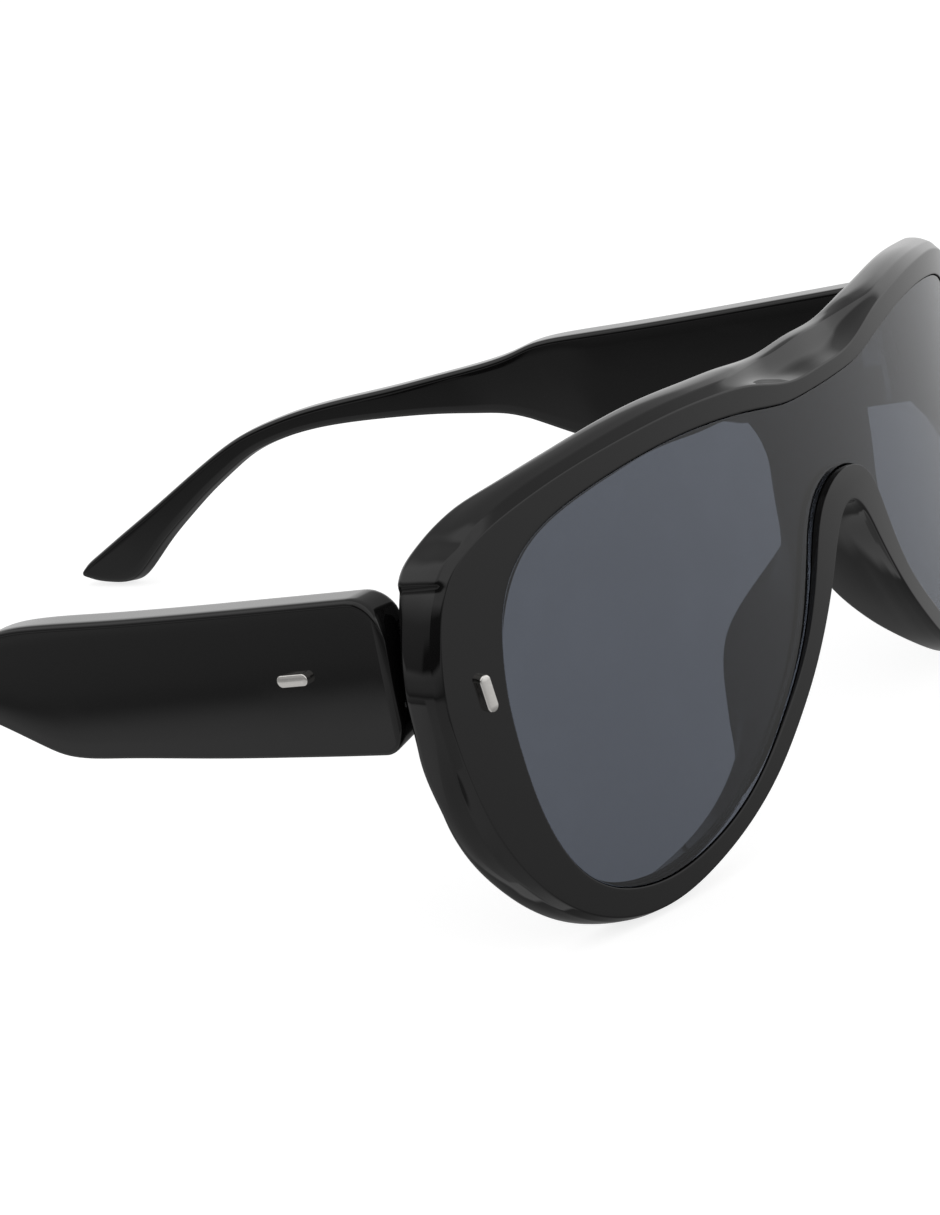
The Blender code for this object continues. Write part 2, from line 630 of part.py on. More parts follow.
def fill_end(mesh, outer, inner):
    """Fill the flat front end between its outline and the bore."""
    flat_points = [Vector((v.co.x, v.co.z)) for v in outer + inner]
    edges = [(i, (i + 1) % len(outer)) for i in range(len(outer))]
    edges += [(len(outer) + i, len(outer) + (i + 1) % len(inner)) for i in range(len(inner))]
    made = delaunay_2d_cdt(flat_points, edges, [], 0, 1e-9)
    outer_loop = [tuple(p) for p in flat_points[:len(outer)]]
    inner_loop = [tuple(p) for p in flat_points[len(outer):]]
    owners = outer + inner
    for face in made[2]:
        middle = tuple(sum(made[0][i][axis] for i in face) / 3.0 for axis in (0, 1))
        if inside(middle, outer_loop) and not inside(middle, inner_loop):
            mesh.faces.new([owners[made[3][i][0]] for i in face])


def build_wire(name, side, material, pivot):
    """Build the core wire that stiffens a temple."""
    mesh = bmesh.new()
    stations = bore_stations()
    last = stations[-1] - WIRE_END_GAP / TEMPLE_LENGTH
    shares = [WIRE_END_GAP / TEMPLE_LENGTH] + stations[:-1] + [last]
    rings = [ring_of(mesh, wire_ring(share, side, WIRE_RADIUS)) for share in shares]
    for first, second in zip(rings, rings[1:]):
        strip(mesh, first, second)
    mesh.faces.new(rings[0])
    mesh.faces.new(rings[-1])
    return finish(name, mesh, material, pivot)


def knuckle_levels(first):
    """Bottom and top of each knuckle of one leaf, counted from the lowest of the stack."""
    height = (KNUCKLE_STACK - KNUCKLE_GAP * (KNUCKLE_COUNT - 1)) / KNUCKLE_COUNT
    base = HINGE_STACK_CENTRE - KNUCKLE_STACK / 2.0
    levels = []
    for index in range(first, KNUCKLE_COUNT, 2):
        low = base + index * (height + KNUCKLE_GAP)
        levels.append((low, low + height))
    return levels


def box_mesh(low, high, turn=None):
    """Make a bmesh that holds one box."""
    mesh = bmesh.new()
    add_box(mesh, low, high, turn)
    return mesh


def tube_mesh(start, end, radius, sides=PIN_SIDES):
    """Make a bmesh that holds one cylinder."""
    mesh = bmesh.new()
    tube(mesh, start, end, radius, sides)
    return mesh


def sided_box(side, low, high, turn=None):
    """Make a box whose x is mirrored to a side of the face."""
    x_values = sorted((side * low[0], side * high[0]))
    return box_mesh((x_values[0], low[1], low[2]), (x_values[1], high[1], high[2]), turn)


def hinge_bore(name, material, parent):
    """Make the cutter for the screw's hole through a stack of knuckles."""
    half = KNUCKLE_STACK / 2.0 + CUT_OVERRUN
    start = Vector((0.0, 0.0, HINGE_STACK_CENTRE - half))
    end = Vector((0.0, 0.0, HINGE_STACK_CENTRE + half))
    return finish(name, tube_mesh(start, end, SCREW_RADIUS + SCREW_CLEARANCE), material, parent)


def build_front_leaf(name, side, material, seat):
    """Build the hinge leaf on the back of the front: a plate with the odd knuckles."""
    plate_y = (-KNUCKLE_RADIUS, LEAF_THICKNESS - KNUCKLE_RADIUS)
    inner = KNUCKLE_RADIUS + SEAT_GAP
    pieces = [sided_box(side, (-inner - FRONT_LEAF_REACH, plate_y[0], FRONT_LEAF_BOTTOM),
                        (-inner, plate_y[1], FRONT_LEAF_TOP))]
    for low, high in knuckle_levels(0):
        pieces.append(tube_mesh(Vector((0.0, 0.0, low)), Vector((0.0, 0.0, high)), KNUCKLE_RADIUS))
        pieces.append(sided_box(side, (-inner - LEAF_THICKNESS, plate_y[0] + LUG_STEP, low),
                                (0.0, plate_y[1], high)))
    leaf = joined(name, pieces, material, seat)
    cut(leaf, hinge_bore(name + "_bore", material, seat))
    return leaf


def build_temple_leaf(name, side, material, seat):
    """Build the hinge leaf on the temple's inner face: a plate with the even knuckles."""
    plate_x = (KNUCKLE_RADIUS - LEAF_THICKNESS, KNUCKLE_RADIUS)
    slope = Matrix.Rotation(-math.radians(TEMPLE_SLOPE), 4, "X")
    shift = Matrix.Translation((0.0, 0.0, TEMPLE_LINE_HEIGHT))
    half = TEMPLE_LEAF_HEIGHT / 2.0
    pieces = [sided_box(side, (plate_x[0], TEMPLE_LEAF_START, TEMPLE_PLAQUE_Z - half),
                        (plate_x[1], TEMPLE_LEAF_END, TEMPLE_PLAQUE_Z + half), shift @ slope)]
    for low, high in knuckle_levels(1):
        pieces.append(tube_mesh(Vector((0.0, 0.0, low)), Vector((0.0, 0.0, high)), KNUCKLE_RADIUS))
        pieces.append(sided_box(side, (plate_x[0], 0.0, low),
                                (plate_x[1] - LUG_STEP, TEMPLE_LEAF_START + LEAF_THICKNESS, high)))
    leaf = joined(name, pieces, material, seat)
    cut(leaf, hinge_bore(name + "_bore", material, seat))
    return leaf


def build_screw(name, material, seat):
    """Build the hinge screw, with its slotted head above the top knuckle."""
    top = HINGE_STACK_CENTRE + KNUCKLE_STACK / 2.0 + SEAT_GAP
    bottom = HINGE_STACK_CENTRE - KNUCKLE_STACK / 2.0
    mesh = bmesh.new()
    profile = ((SCREW_RADIUS, bottom), (SCREW_RADIUS, top), (SCREW_HEAD_RADIUS, top),
               (SCREW_HEAD_RADIUS, top + SCREW_HEAD_HEIGHT - PLAQUE_EDGE),
               (SCREW_HEAD_RADIUS - PLAQUE_EDGE, top + SCREW_HEAD_HEIGHT))
    rings = [ring_of(mesh, [Vector((r * math.cos(a), r * math.sin(a), z))
                            for a in (2.0 * math.pi * i / PIN_SIDES for i in range(PIN_SIDES))])
             for r, z in profile]
    for first, second in zip(rings, rings[1:]):
        strip(mesh, first, second)
    mesh.faces.new(rings[0])
    mesh.faces.new(rings[-1])
    screw = finish(name, mesh, material, seat)
    reach = SCREW_HEAD_RADIUS + CUT_OVERRUN
    head_top = top + SCREW_HEAD_HEIGHT
    slot = box_mesh((-reach, -SCREW_SLOT_WIDTH / 2.0, head_top - SCREW_SLOT_DEPTH),
                    (reach, SCREW_SLOT_WIDTH / 2.0, head_top + CUT_OVERRUN))
    cut(screw, finish(name + "_slot", slot, material, seat))
    return screw


def plaque_outline(length, width):
    """Points of a pill outline, long along its first axis."""
    radius = width / 2.0
    half = length / 2.0 - radius
    points = []
    for end, start in ((half, -math.pi / 2.0), (-half, math.pi / 2.0)):
        for step in range(ROUND_STEPS + 1):
            angle = start + math.pi * step / ROUND_STEPS
            points.append((end + radius * math.cos(angle), radius * math.sin(angle)))
    return points


def build_plaque(name, material, seat, pin_length):
    """Build a pill-shaped plaque with two rivet pins; it lies in x and y, with its pins along -z."""
    mesh = bmesh.new()
    foot = plaque_outline(PLAQUE_LENGTH, PLAQUE_WIDTH)
    crown = plaque_outline(PLAQUE_LENGTH - 2.0 * PLAQUE_EDGE, PLAQUE_WIDTH - 2.0 * PLAQUE_EDGE)
    levels = ((foot, SEAT_GAP), (foot, PLAQUE_HEIGHT - PLAQUE_EDGE), (crown, PLAQUE_HEIGHT))
    rings = [ring_of(mesh, [Vector((x, y, z)) for x, y in loop]) for loop, z in levels]
    for first, second in zip(rings, rings[1:]):
        strip(mesh, first, second)
    mesh.faces.new(rings[0])
    mesh.faces.new(rings[-1])
    pieces = [mesh]
    for way in (-1.0, 1.0):
        x = way * RIVET_SPACING / 2.0
        start = Vector((x, 0.0, (SEAT_GAP + PLAQUE_HEIGHT) / 2.0))
        pieces.append(tube_mesh(start, Vector((x, 0.0, -pin_length)), RIVET_RADIUS))
    return joined(name, pieces, material, seat)


def rivet_cutters(name, material, seat, pin_length):
    """Make the cutters for the two rivet holes of a plaque."""
    made = []
    for index, way in enumerate((-1.0, 1.0)):
        x = way * RIVET_SPACING / 2.0
        start = Vector((x, 0.0, PLAQUE_HEIGHT + CUT_OVERRUN))
        end = Vector((x, 0.0, -pin_length - CUT_OVERRUN))
        hole = tube_mesh(start, end, RIVET_RADIUS + RIVET_CLEARANCE)
        made.append(finish(f"{name}_hole_{index}", hole, material, seat))
    return made


def empty(name, parent=None, location=(0.0, 0.0, 0.0)):
    """Make an empty that carries other pieces."""
    result = bpy.data.objects.new(name, None)
    bpy.context.collection.objects.link(result)
    result.parent = parent
    result.location = location
    return result


def plaque_seat(name, parent, place, outward, along):
    """Make an empty whose z points off the surface and whose x runs along the plaque."""
    z_axis = outward.normalized()
    x_axis = (along - along.dot(z_axis) * z_axis).normalized()
    y_axis = z_axis.cross(x_axis)
    seat = empty(name, parent)
    turn = Matrix((x_axis, y_axis, z_axis)).transposed().to_4x4()
    seat.matrix_basis = Matrix.Translation(place) @ turn
    return seat


def build_side(word, side, front, stand, looks):
    """Build one temple with its hinge, screw, rivet plaques and core wire."""
    hinge = empty(f"hinge_{word}", stand, (side * HINGE_X, HINGE_Y, 0.0))
    pivot = empty(f"temple_pivot_{word}", hinge)
    pivot.rotation_euler = (0.0, 0.0, side * math.radians(TEMPLE_SPLAY))
    line = empty(f"temple_line_{word}", pivot, (0.0, 0.0, TEMPLE_LINE_HEIGHT))
    line.rotation_euler = (-math.radians(TEMPLE_SLOPE), 0.0, 0.0)

    temple = build_temple(f"temple_{word}", side, looks["plastic"], line)
    build_wire(f"temple_core_wire_{word}", side, looks["steel"], line)
    temple_leaf = build_temple_leaf(f"temple_hinge_leaf_{word}", side, looks["steel"], pivot)
    front_leaf = build_front_leaf(f"front_hinge_leaf_{word}", side, looks["steel"], hinge)
    build_screw(f"hinge_screw_{word}", looks["steel"], hinge)

    outer = TEMPLE_OUTER_X - HINGE_X
    pin = TEMPLE_THICKNESS + SEAT_GAP + LEAF_THICKNESS
    place = Vector((side * outer, TEMPLE_PLAQUE_Y, TEMPLE_PLAQUE_Z))
    seat = plaque_seat(f"temple_plaque_seat_{word}", line, place, Vector((side, 0.0, 0.0)),
                       Vector((0.0, 1.0, 0.0)))
    build_plaque(f"temple_rivet_plaque_{word}", looks["silver"], seat, pin)
    for hole in rivet_cutters(f"temple_rivet_{word}", looks["steel"], seat, pin):
        cut(temple, hole)
        cut(temple_leaf, hole)

    slant = math.asin(FRONT_PLAQUE_X / WRAP_RADIUS)
    outward = Vector((side * math.sin(slant), -math.cos(slant), 0.0))
    lean = math.radians(FRONT_PLAQUE_LEAN)
    along = Vector((side * math.sin(lean), 0.0, math.cos(lean)))
    place = Vector((side * FRONT_PLAQUE_X, front_y(FRONT_PLAQUE_X), FRONT_PLAQUE_Z))
    pin = (HINGE_Y - KNUCKLE_RADIUS + LEAF_THICKNESS - place.y) / math.cos(slant)
    seat = plaque_seat(f"front_plaque_seat_{word}", stand, place, outward, along)
    build_plaque(f"front_rivet_plaque_{word}", looks["silver"], seat, pin)
    for hole in rivet_cutters(f"front_rivet_{word}", looks["steel"], seat, pin):
        cut(front, hole)
        cut(front_leaf, hole)


def set_down(stand):
    """Tip and lower the stand until the rims and both temple tips rest on the ground."""
    bpy.context.view_layer.update()
    groups = {"front_frame": [], "temple_right": [], "temple_left": []}
    for name, points in groups.items():
        item = bpy.data.objects[name]
        points += [item.matrix_world @ vertex.co for vertex in item.data.vertices]
    middle = HINGE_Y + TEMPLE_LENGTH / 2.0
    rims = groups["front_frame"]
    tips = [p for name in ("temple_right", "temple_left") for p in groups[name] if p.y > middle]
    angle = 0.0
    for _ in range(8):
        turn = Matrix.Rotation(angle, 3, "X")
        low_rim = min((turn @ p for p in rims), key=lambda p: p.z)
        low_tip = min((turn @ p for p in tips), key=lambda p: p.z)
        angle -= math.atan2(low_tip.z - low_rim.z, low_tip.y - low_rim.y)
    turn = Matrix.Rotation(angle, 3, "X")
    placed = [turn @ p for points in groups.values() for p in points]
    stand.rotation_euler = (angle, 0.0, 0.0)
    y_values = [p.y for p in placed]
    stand.location = (0.0, -(min(y_values) + max(y_values)) / 2.0, -min(p.z for p in placed))
    bpy.context.view_layer.update()


def main():
    """Clear the scene and build the sunglasses."""
    for item in list(bpy.data.objects):
        bpy.data.objects.remove(item, do_unlink=True)
    looks = {
        "plastic": make_material("black_glossy_plastic", (0.006, 0.006, 0.007), 0.12),
        "lens": make_material("smoke_lens", (0.035, 0.045, 0.055), 0.04, alpha=0.9),
        "silver": make_material("polished_silver", (0.75, 0.75, 0.76), 0.18, metallic=1.0),
        "steel": make_material("hinge_steel", (0.55, 0.56, 0.58), 0.30, metallic=1.0),
        "bond": make_material("bonding_film", (0.05, 0.05, 0.05), 0.60),
    }
    stand = empty("stand")
    front = build_front(looks["plastic"], stand)
    build_lens(looks["lens"], stand)
    build_bond(looks["bond"], stand)
    for word, side in SIDES:
        build_side(word, side, front, stand, looks)
    set_down(stand)


main()
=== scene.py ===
"""Visual model of wrapped shield sunglasses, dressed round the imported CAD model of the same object.

Lengths are in metres and angles in degrees. The front is shaped upright in its own frame: x across,
z up, y back, with zero at the top of the nose arch. The Stand then lays it where the CAD model lies.
"""
import json
import logging
import math
from dataclasses import dataclass, field
from enum import Enum

import bmesh
import bpy
import numpy as np
from mathutils import Matrix, Vector


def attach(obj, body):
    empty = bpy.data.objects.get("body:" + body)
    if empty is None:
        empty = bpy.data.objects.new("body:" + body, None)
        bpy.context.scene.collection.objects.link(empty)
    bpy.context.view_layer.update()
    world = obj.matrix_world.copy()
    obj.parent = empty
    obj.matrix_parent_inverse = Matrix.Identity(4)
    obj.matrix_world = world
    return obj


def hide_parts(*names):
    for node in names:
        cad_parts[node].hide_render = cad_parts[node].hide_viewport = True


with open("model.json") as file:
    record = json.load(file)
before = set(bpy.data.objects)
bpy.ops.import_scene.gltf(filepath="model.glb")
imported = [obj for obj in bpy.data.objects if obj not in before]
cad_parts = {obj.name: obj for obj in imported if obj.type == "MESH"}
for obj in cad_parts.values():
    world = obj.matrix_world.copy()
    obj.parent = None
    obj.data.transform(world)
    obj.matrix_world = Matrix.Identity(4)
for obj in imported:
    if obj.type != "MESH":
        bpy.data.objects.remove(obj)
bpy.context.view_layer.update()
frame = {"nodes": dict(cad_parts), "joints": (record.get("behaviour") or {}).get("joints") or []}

Rows = np.ndarray
Pair = tuple[float, float]
Triple = tuple[float, float, float]
Pairs = tuple[Pair, ...]
Mesh, Material = bpy.types.Mesh, bpy.types.Material
Node, Socket, Tree = bpy.types.Node, bpy.types.NodeSocket, bpy.types.NodeTree
# Points closer than this are welded into one
WELD_DISTANCE = 1e-7
# Lengths that keep a division from failing, beside lengths and beside areas
TINY = 1e-9
NEVER_ZERO = 1e-30
# Edges that turn by more than this stay sharp
SHARP_ANGLE = math.radians(35.0)
# Most of a side that the rounding of one of its corners takes up
CORNER_SHARE = 0.48
# What turns points of the left half into points of the right half
MIRROR = np.array([-1.0, 1.0, 1.0])
logger = logging.getLogger("sunglasses")

# Most rows of the outline, the seam and the opening were worked out by fitting programs, not chosen
# by hand. They are to be drawn afresh by hand, with fewer points, once the solids are changed too.
# Outline of the front face from the bridge round to the nose arch: shares of the half width and of
# the height above the lowest point, and how far the wall behind it flares
OUTLINE_SHARES = (
    (0.000, 0.934, 1.00), (0.082, 0.934, 0.95), (0.157, 0.949, 0.79), (0.232, 0.974, 0.61),
    (0.331, 0.992, 0.47), (0.454, 1.000, 0.45), (0.586, 0.993, 0.42), (0.717, 0.974, 0.38),
    (0.826, 0.942, 0.41), (0.920, 0.893, 0.10), (0.967, 0.828, -0.08), (0.990, 0.733, -0.05),
    (1.000, 0.622, 0.02), (0.993, 0.499, 0.06), (0.971, 0.365, 0.44), (0.923, 0.212, 0.36),
    (0.850, 0.093, 0.25), (0.756, 0.021, 0.21), (0.654, 0.000, 0.18), (0.554, 0.022, 0.16),
    (0.454, 0.067, 0.13), (0.354, 0.135, 0.12), (0.268, 0.225, 0.11), (0.202, 0.308, 0.09),
    (0.146, 0.395, 0.08), (0.099, 0.482, 0.08), (0.067, 0.549, 0.08), (0.034, 0.599, 0.08),
    (0.000, 0.617, 0.08),
)
# Lens seam, point for point beside the outline
SEAM_SHARES = (
    (0.000, 0.897), (0.078, 0.898), (0.146, 0.902), (0.232, 0.921), (0.331, 0.939), (0.454, 0.948),
    (0.569, 0.941), (0.686, 0.920), (0.779, 0.884), (0.841, 0.825), (0.873, 0.750), (0.887, 0.669),
    (0.893, 0.571), (0.888, 0.457), (0.873, 0.328), (0.835, 0.190), (0.776, 0.103), (0.705, 0.065),
    (0.639, 0.056), (0.562, 0.069), (0.477, 0.103), (0.392, 0.160), (0.312, 0.243), (0.255, 0.311),
    (0.203, 0.390), (0.166, 0.471), (0.138, 0.549), (0.093, 0.650), (0.000, 0.696),
)
# Eye opening behind the lens, from its upper nose corner outwards and round, and how far its back
# edge is relieved
OPENING_SHARES = (
    (0.212, 0.902, 0.00), (0.316, 0.923, 0.00), (0.468, 0.933, 0.00), (0.591, 0.920, 0.00),
    (0.699, 0.894, 0.00), (0.783, 0.847, 0.00), (0.829, 0.780, 0.00), (0.857, 0.693, 0.00),
    (0.869, 0.574, 0.00), (0.866, 0.450, 0.00), (0.853, 0.324, 0.00), (0.820, 0.199, 0.00),
    (0.765, 0.111, 0.00), (0.703, 0.079, 0.43), (0.632, 0.071, 0.37), (0.564, 0.083, 0.26),
    (0.481, 0.116, 0.20), (0.401, 0.171, 0.13), (0.327, 0.245, 0.26), (0.267, 0.315, 0.26),
    (0.220, 0.403, 0.42), (0.191, 0.496, 0.84), (0.178, 0.592, 0.77), (0.186, 0.688, 0.98),
    (0.189, 0.761, 1.12), (0.198, 0.833, 0.67),
)
# Temple edges: shares of the length from the joint, and heights as shares of the temple height
TEMPLE_TOP_SHARES = (
    (0.000, 0.516), (0.090, 0.522), (0.190, 0.530), (0.290, 0.546), (0.350, 0.560), (0.376, 0.558),
    (0.395, 0.541), (0.413, 0.508), (0.448, 0.464), (0.500, 0.433), (0.570, 0.400), (0.640, 0.378),
    (0.688, 0.344), (0.722, 0.300), (0.757, 0.233), (0.804, 0.083), (0.845, -0.072), (0.893, -0.256),
    (0.938, -0.422), (0.978, -0.572), (0.993, -0.640), (1.000, -0.690),
)
TEMPLE_BOTTOM_SHARES = (
    (0.000, -0.472), (0.050, -0.461), (0.112, -0.444), (0.203, -0.411), (0.300, -0.367),
    (0.334, -0.350), (0.358, -0.311), (0.380, -0.233), (0.408, -0.122), (0.434, -0.033),
    (0.470, 0.028), (0.512, 0.083), (0.568, 0.133), (0.624, 0.164), (0.672, 0.164), (0.712, 0.128),
    (0.754, 0.039), (0.782, -0.067), (0.817, -0.217), (0.852, -0.389), (0.887, -0.578),
    (0.917, -0.765), (0.932, -0.840), (0.947, -0.862), (0.968, -0.832), (0.987, -0.778),
    (1.000, -0.712),
)
# Shares of the length, and which of the temple's three thicknesses holds there
TEMPLE_THICKNESS_SHARES = ((0.0, 0.0), (0.34, 0.0), (0.47, 1.0), (0.76, 1.0), (0.93, 2.0), (1.0, 2.0))


class Side(Enum):
    """Side of the wearer's head, with the sign of x on it."""

    RIGHT = -1
    LEFT = 1

    @property
    def word(self) -> str:
        """Name of the side as the CAD nodes give it."""
        return self.name.lower()


class Body(Enum):
    """Bodies of the CAD model that the pieces ride on."""

    FRONT = "front"
    RIGHT_TEMPLE = "right_temple"
    LEFT_TEMPLE = "left_temple"

    @staticmethod
    def temple(side: Side) -> "Body":
        """Body of the temple on a side."""
        return Body[f"{side.name}_TEMPLE"]


class Slot(Enum):
    """Material slots of the record."""

    FRAME = "frame_plastic"
    LENS = "smoke_lens"
    FILM = "bonding_film"
    STEEL = "hinge_steel"
    SILVER = "polished_metal"


def mix(first: Rows | float, second: Rows | float, share: Rows | float) -> Rows:
    """Go from a first value to a second by a share."""
    return first + (second - first) * share


def inner_shares(count: int) -> Rows:
    """Even shares between 0 and 1, without both ends."""
    return np.linspace(0.0, 1.0, count + 2)[1:-1]


def quarter_round(radius: float, steps: int) -> list[Pair]:
    """Insets and falls of points down from a flat face's level along the quarter circle of its edge."""
    turns = np.linspace(0.0, 0.5 * math.pi, steps)
    return [(radius * (1.0 - math.cos(a)), radius * (1.0 - math.sin(a))) for a in turns]


def eased(value: Rows | float, start: float, end: float) -> Rows:
    """Ease from 0 at one value to 1 at another."""
    share = np.clip((np.asarray(value, dtype=float) - start) / (end - start), 0.0, 1.0)
    return share * share * (3.0 - 2.0 * share)


def spline_slopes(stations: Rows, values: Rows, closed: bool) -> Rows:
    """Work out the slopes that give a cubic spline its even curvature.

    Args:
        stations: where the values stand, with one more than them on a closed curve.
        values: one row for each point.
        closed: whether the last point runs on into the first.

    Returns:
        Slope at each point.
    """
    spans = np.diff(stations)
    rises = np.roll(values, -1, axis=0) - values if closed else np.diff(values, axis=0)
    rates = rises / spans[:, None]
    size = len(values)
    matrix = np.zeros((size, size))
    right = np.zeros_like(values)
    for row in range(size):
        if closed or 0 < row < size - 1:
            low, high = spans[row - 1], spans[row]
            matrix[row, row - 1] = 1.0 / low
            matrix[row, row] = 2.0 / low + 2.0 / high
            matrix[row, (row + 1) % size] = 1.0 / high
            right[row] = 3.0 * (rates[row - 1] / low + rates[row] / high)
        else:
            inner = 1 if row == 0 else size - 2
            matrix[row, row], matrix[row, inner] = 2.0, 1.0
            right[row] = 3.0 * rates[min(row, inner)]
    return np.linalg.solve(matrix, right)


def spline_at(stations: Rows, values: Rows, where: Rows, closed: bool = False) -> Rows:
    """Read a cubic spline.

    Args:
        stations: where the values stand, with one more than them on a closed curve.
        values: one row for each point.
        where: stations to read it at.
        closed: whether the last point runs on into the first.

    Returns:
        One row for each place read.
    """
    slopes = spline_slopes(stations, values, closed)
    span = np.clip(np.searchsorted(stations, where, side="right") - 1, 0, len(stations) - 2)
    after = (span + 1) % len(values)
    width = (stations[span + 1] - stations[span])[:, None]
    t = (where - stations[span])[:, None] / width
    rest = 1.0 - t
    ends = values[span] * (1.0 + 2.0 * t) * rest ** 2 + values[after] * t * t * (3.0 - 2.0 * t)
    return ends + width * (slopes[span] * t * rest ** 2 - slopes[after] * t * t * rest)


def softened(values: Rows, passes: int, closed: bool) -> Rows:
    """Average a row of values with its neighbours, pass after pass.

    Args:
        values: one row for each place.
        passes: how often they are averaged.
        closed: whether the last runs on into the first; if not, both ends are held.

    Returns:
        The softer row.
    """
    ends = values[[0, -1]]
    for _ in range(passes):
        values = 0.5 * values + 0.25 * (np.roll(values, 1, axis=0) + np.roll(values, -1, axis=0))
        if not closed:
            values[[0, -1]] = ends
    return values


def faired(loop: Rows, passes: int) -> Rows:
    """Take small waves out of a closed loop, and give back what that shrinks it."""
    once = softened(loop, passes, True)
    return once + softened(loop - once, passes, True)


def smooth_loop(rows: Rows, steps: int, passes: int) -> Rows:
    """Draw an even curve through a closed row of points.

    Args:
        rows: points to pass, x and z first.
        steps: samples between two points.
        passes: fairing passes over the samples.

    Returns:
        Samples round the loop.
    """
    chords = np.linalg.norm(np.roll(rows[:, :2], -1, axis=0) - rows[:, :2], axis=1)
    stations = np.concatenate([[0.0], np.cumsum(chords)])
    shares = np.arange(steps) / steps
    where = (stations[:-1, None] + chords[:, None] * shares[None, :]).ravel()
    return faired(spline_at(stations, rows, where, closed=True), passes)


def loop_normals(loop: Rows) -> Rows:
    """Find the unit normals of a closed loop, pointing away from its inside.

    Args:
        loop: x and z round the loop.

    Returns:
        One normal for each point.
    """
    along = np.roll(loop, -1, axis=0) - np.roll(loop, 1, axis=0)
    after = np.roll(loop, -1, axis=0)
    area = np.sum(loop[:, 0] * after[:, 1] - after[:, 0] * loop[:, 1])
    normals = np.stack([along[:, 1], -along[:, 0]], axis=1) * np.sign(area)
    return normals / np.linalg.norm(normals, axis=1, keepdims=True)


def rounded(before: Rows, corner: Rows, after: Rows, reach: Rows | float, steps: int) -> Rows:
    """Round a corner that many profiles have in common.

    Args:
        before: points that the profiles come from.
        corner: their corner points.
        after: points that they go on to.
        reach: how far from the corner the rounding starts.
        steps: facets of the rounding.

    Returns:
        Rows of points from the start of the rounding to its end.
    """
    back, on = before - corner, after - corner
    back_length = np.linalg.norm(back, axis=-1, keepdims=True) + TINY
    on_length = np.linalg.norm(on, axis=-1, keepdims=True) + TINY
    start = corner + back / back_length * np.minimum(reach, CORNER_SHARE * back_length)
    end = corner + on / on_length * np.minimum(reach, CORNER_SHARE * on_length)
    t = np.linspace(0.0, 1.0, steps + 1)[:, None, None]
    return (1.0 - t) ** 2 * start + 2.0 * t * (1.0 - t) * corner + t * t * end


class Patchwork:
    """Grids of points that are welded into one closed mesh."""

    def __init__(self) -> None:
        """Start with nothing."""
        self.blocks: list[Rows] = []
        self.quads: list[Rows] = []
        self.count = 0

    def grid(self, points: Rows, closed: bool = False) -> None:
        """Add a grid of quads.

        Args:
            points: rows by columns of places.
            closed: whether each row runs on from its last column into its first.
        """
        rows, columns = points.shape[:2]
        index = self.count + np.arange(rows * columns).reshape(rows, columns)
        beside = np.roll(index, -1, axis=1)
        corners = np.stack([index[:-1], beside[:-1], beside[1:], index[1:]], axis=-1)
        if not closed:
            corners = corners[:, :-1]
        self.blocks.append(points.reshape(-1, 3))
        self.quads.append(corners.reshape(-1, 4))
        self.count += rows * columns

    def cap(self, ring: Rows, rows: int) -> None:
        """Close a flat ring with rings that shrink to its middle."""
        shares = np.linspace(0.0, 1.0, rows + 1)[:, None, None]
        self.grid(mix(ring, ring.mean(axis=0), shares), closed=True)

    def tube(self, rings: Rows, first: int, last: int) -> None:
        """Add a closed tube with both its ends capped.

        Args:
            rings: rings of points along it.
            first: rows of the cap on its first ring.
            last: rows of the cap on its last ring.
        """
        self.grid(rings, closed=True)
        self.cap(rings[0], first)
        self.cap(rings[-1], last)

    def mesh(self, name: str) -> Mesh:
        """Weld the grids and turn every shell out.

        Args:
            name: name of the mesh.

        Returns:
            The mesh, shaded smooth.
        """
        data = bpy.data.meshes.new(name)
        data.from_pydata(np.concatenate(self.blocks).tolist(), [], np.concatenate(self.quads).tolist())
        work = bmesh.new()
        work.from_mesh(data)
        bmesh.ops.remove_doubles(work, verts=work.verts, dist=WELD_DISTANCE)
        bmesh.ops.recalc_face_normals(work, faces=work.faces)
        if work.calc_volume(signed=True) < 0.0:
            bmesh.ops.reverse_faces(work, faces=work.faces)
        open_edges = sum(1 for edge in work.edges if not edge.is_manifold)
        if open_edges:
            logger.warning("%s has %d open edges", name, open_edges)
        work.to_mesh(data)
        work.free()
        keep_flats_flat(data)
        return data


def keep_flats_flat(data: Mesh) -> None:
    """Shade a mesh smooth, with normals that follow its larger faces.

    Args:
        data: the mesh.
    """
    data.shade_smooth()
    faces = len(data.polygons)
    normals, areas = np.empty(faces * 3), np.empty(faces)
    sizes, corners = np.empty(faces, dtype=int), np.empty(len(data.loops), dtype=int)
    for name, values in (("normal", normals), ("area", areas), ("loop_total", sizes)):
        data.polygons.foreach_get(name, values)
    data.loops.foreach_get("vertex_index", corners)
    total = np.zeros((len(data.vertices), 3))
    np.add.at(total, corners, np.repeat(normals.reshape(-1, 3) * areas[:, None], sizes, axis=0))
    total /= np.linalg.norm(total, axis=1, keepdims=True) + NEVER_ZERO
    data.normals_split_custom_set_from_vertices(total.tolist())


def keep_edges_sharp(data: Mesh) -> None:
    """Shade a mesh smooth between its sharp edges."""
    data.shade_smooth()
    data.set_sharp_from_angle(angle=SHARP_ANGLE)


def finished(work: bmesh.types.BMesh, name: str) -> Mesh:
    """Turn worked geometry into a mesh.

    Args:
        work: the geometry, which is freed.
        name: name of the mesh.

    Returns:
        The mesh.
    """
    data = bpy.data.meshes.new(name)
    work.to_mesh(data)
    work.free()
    return data


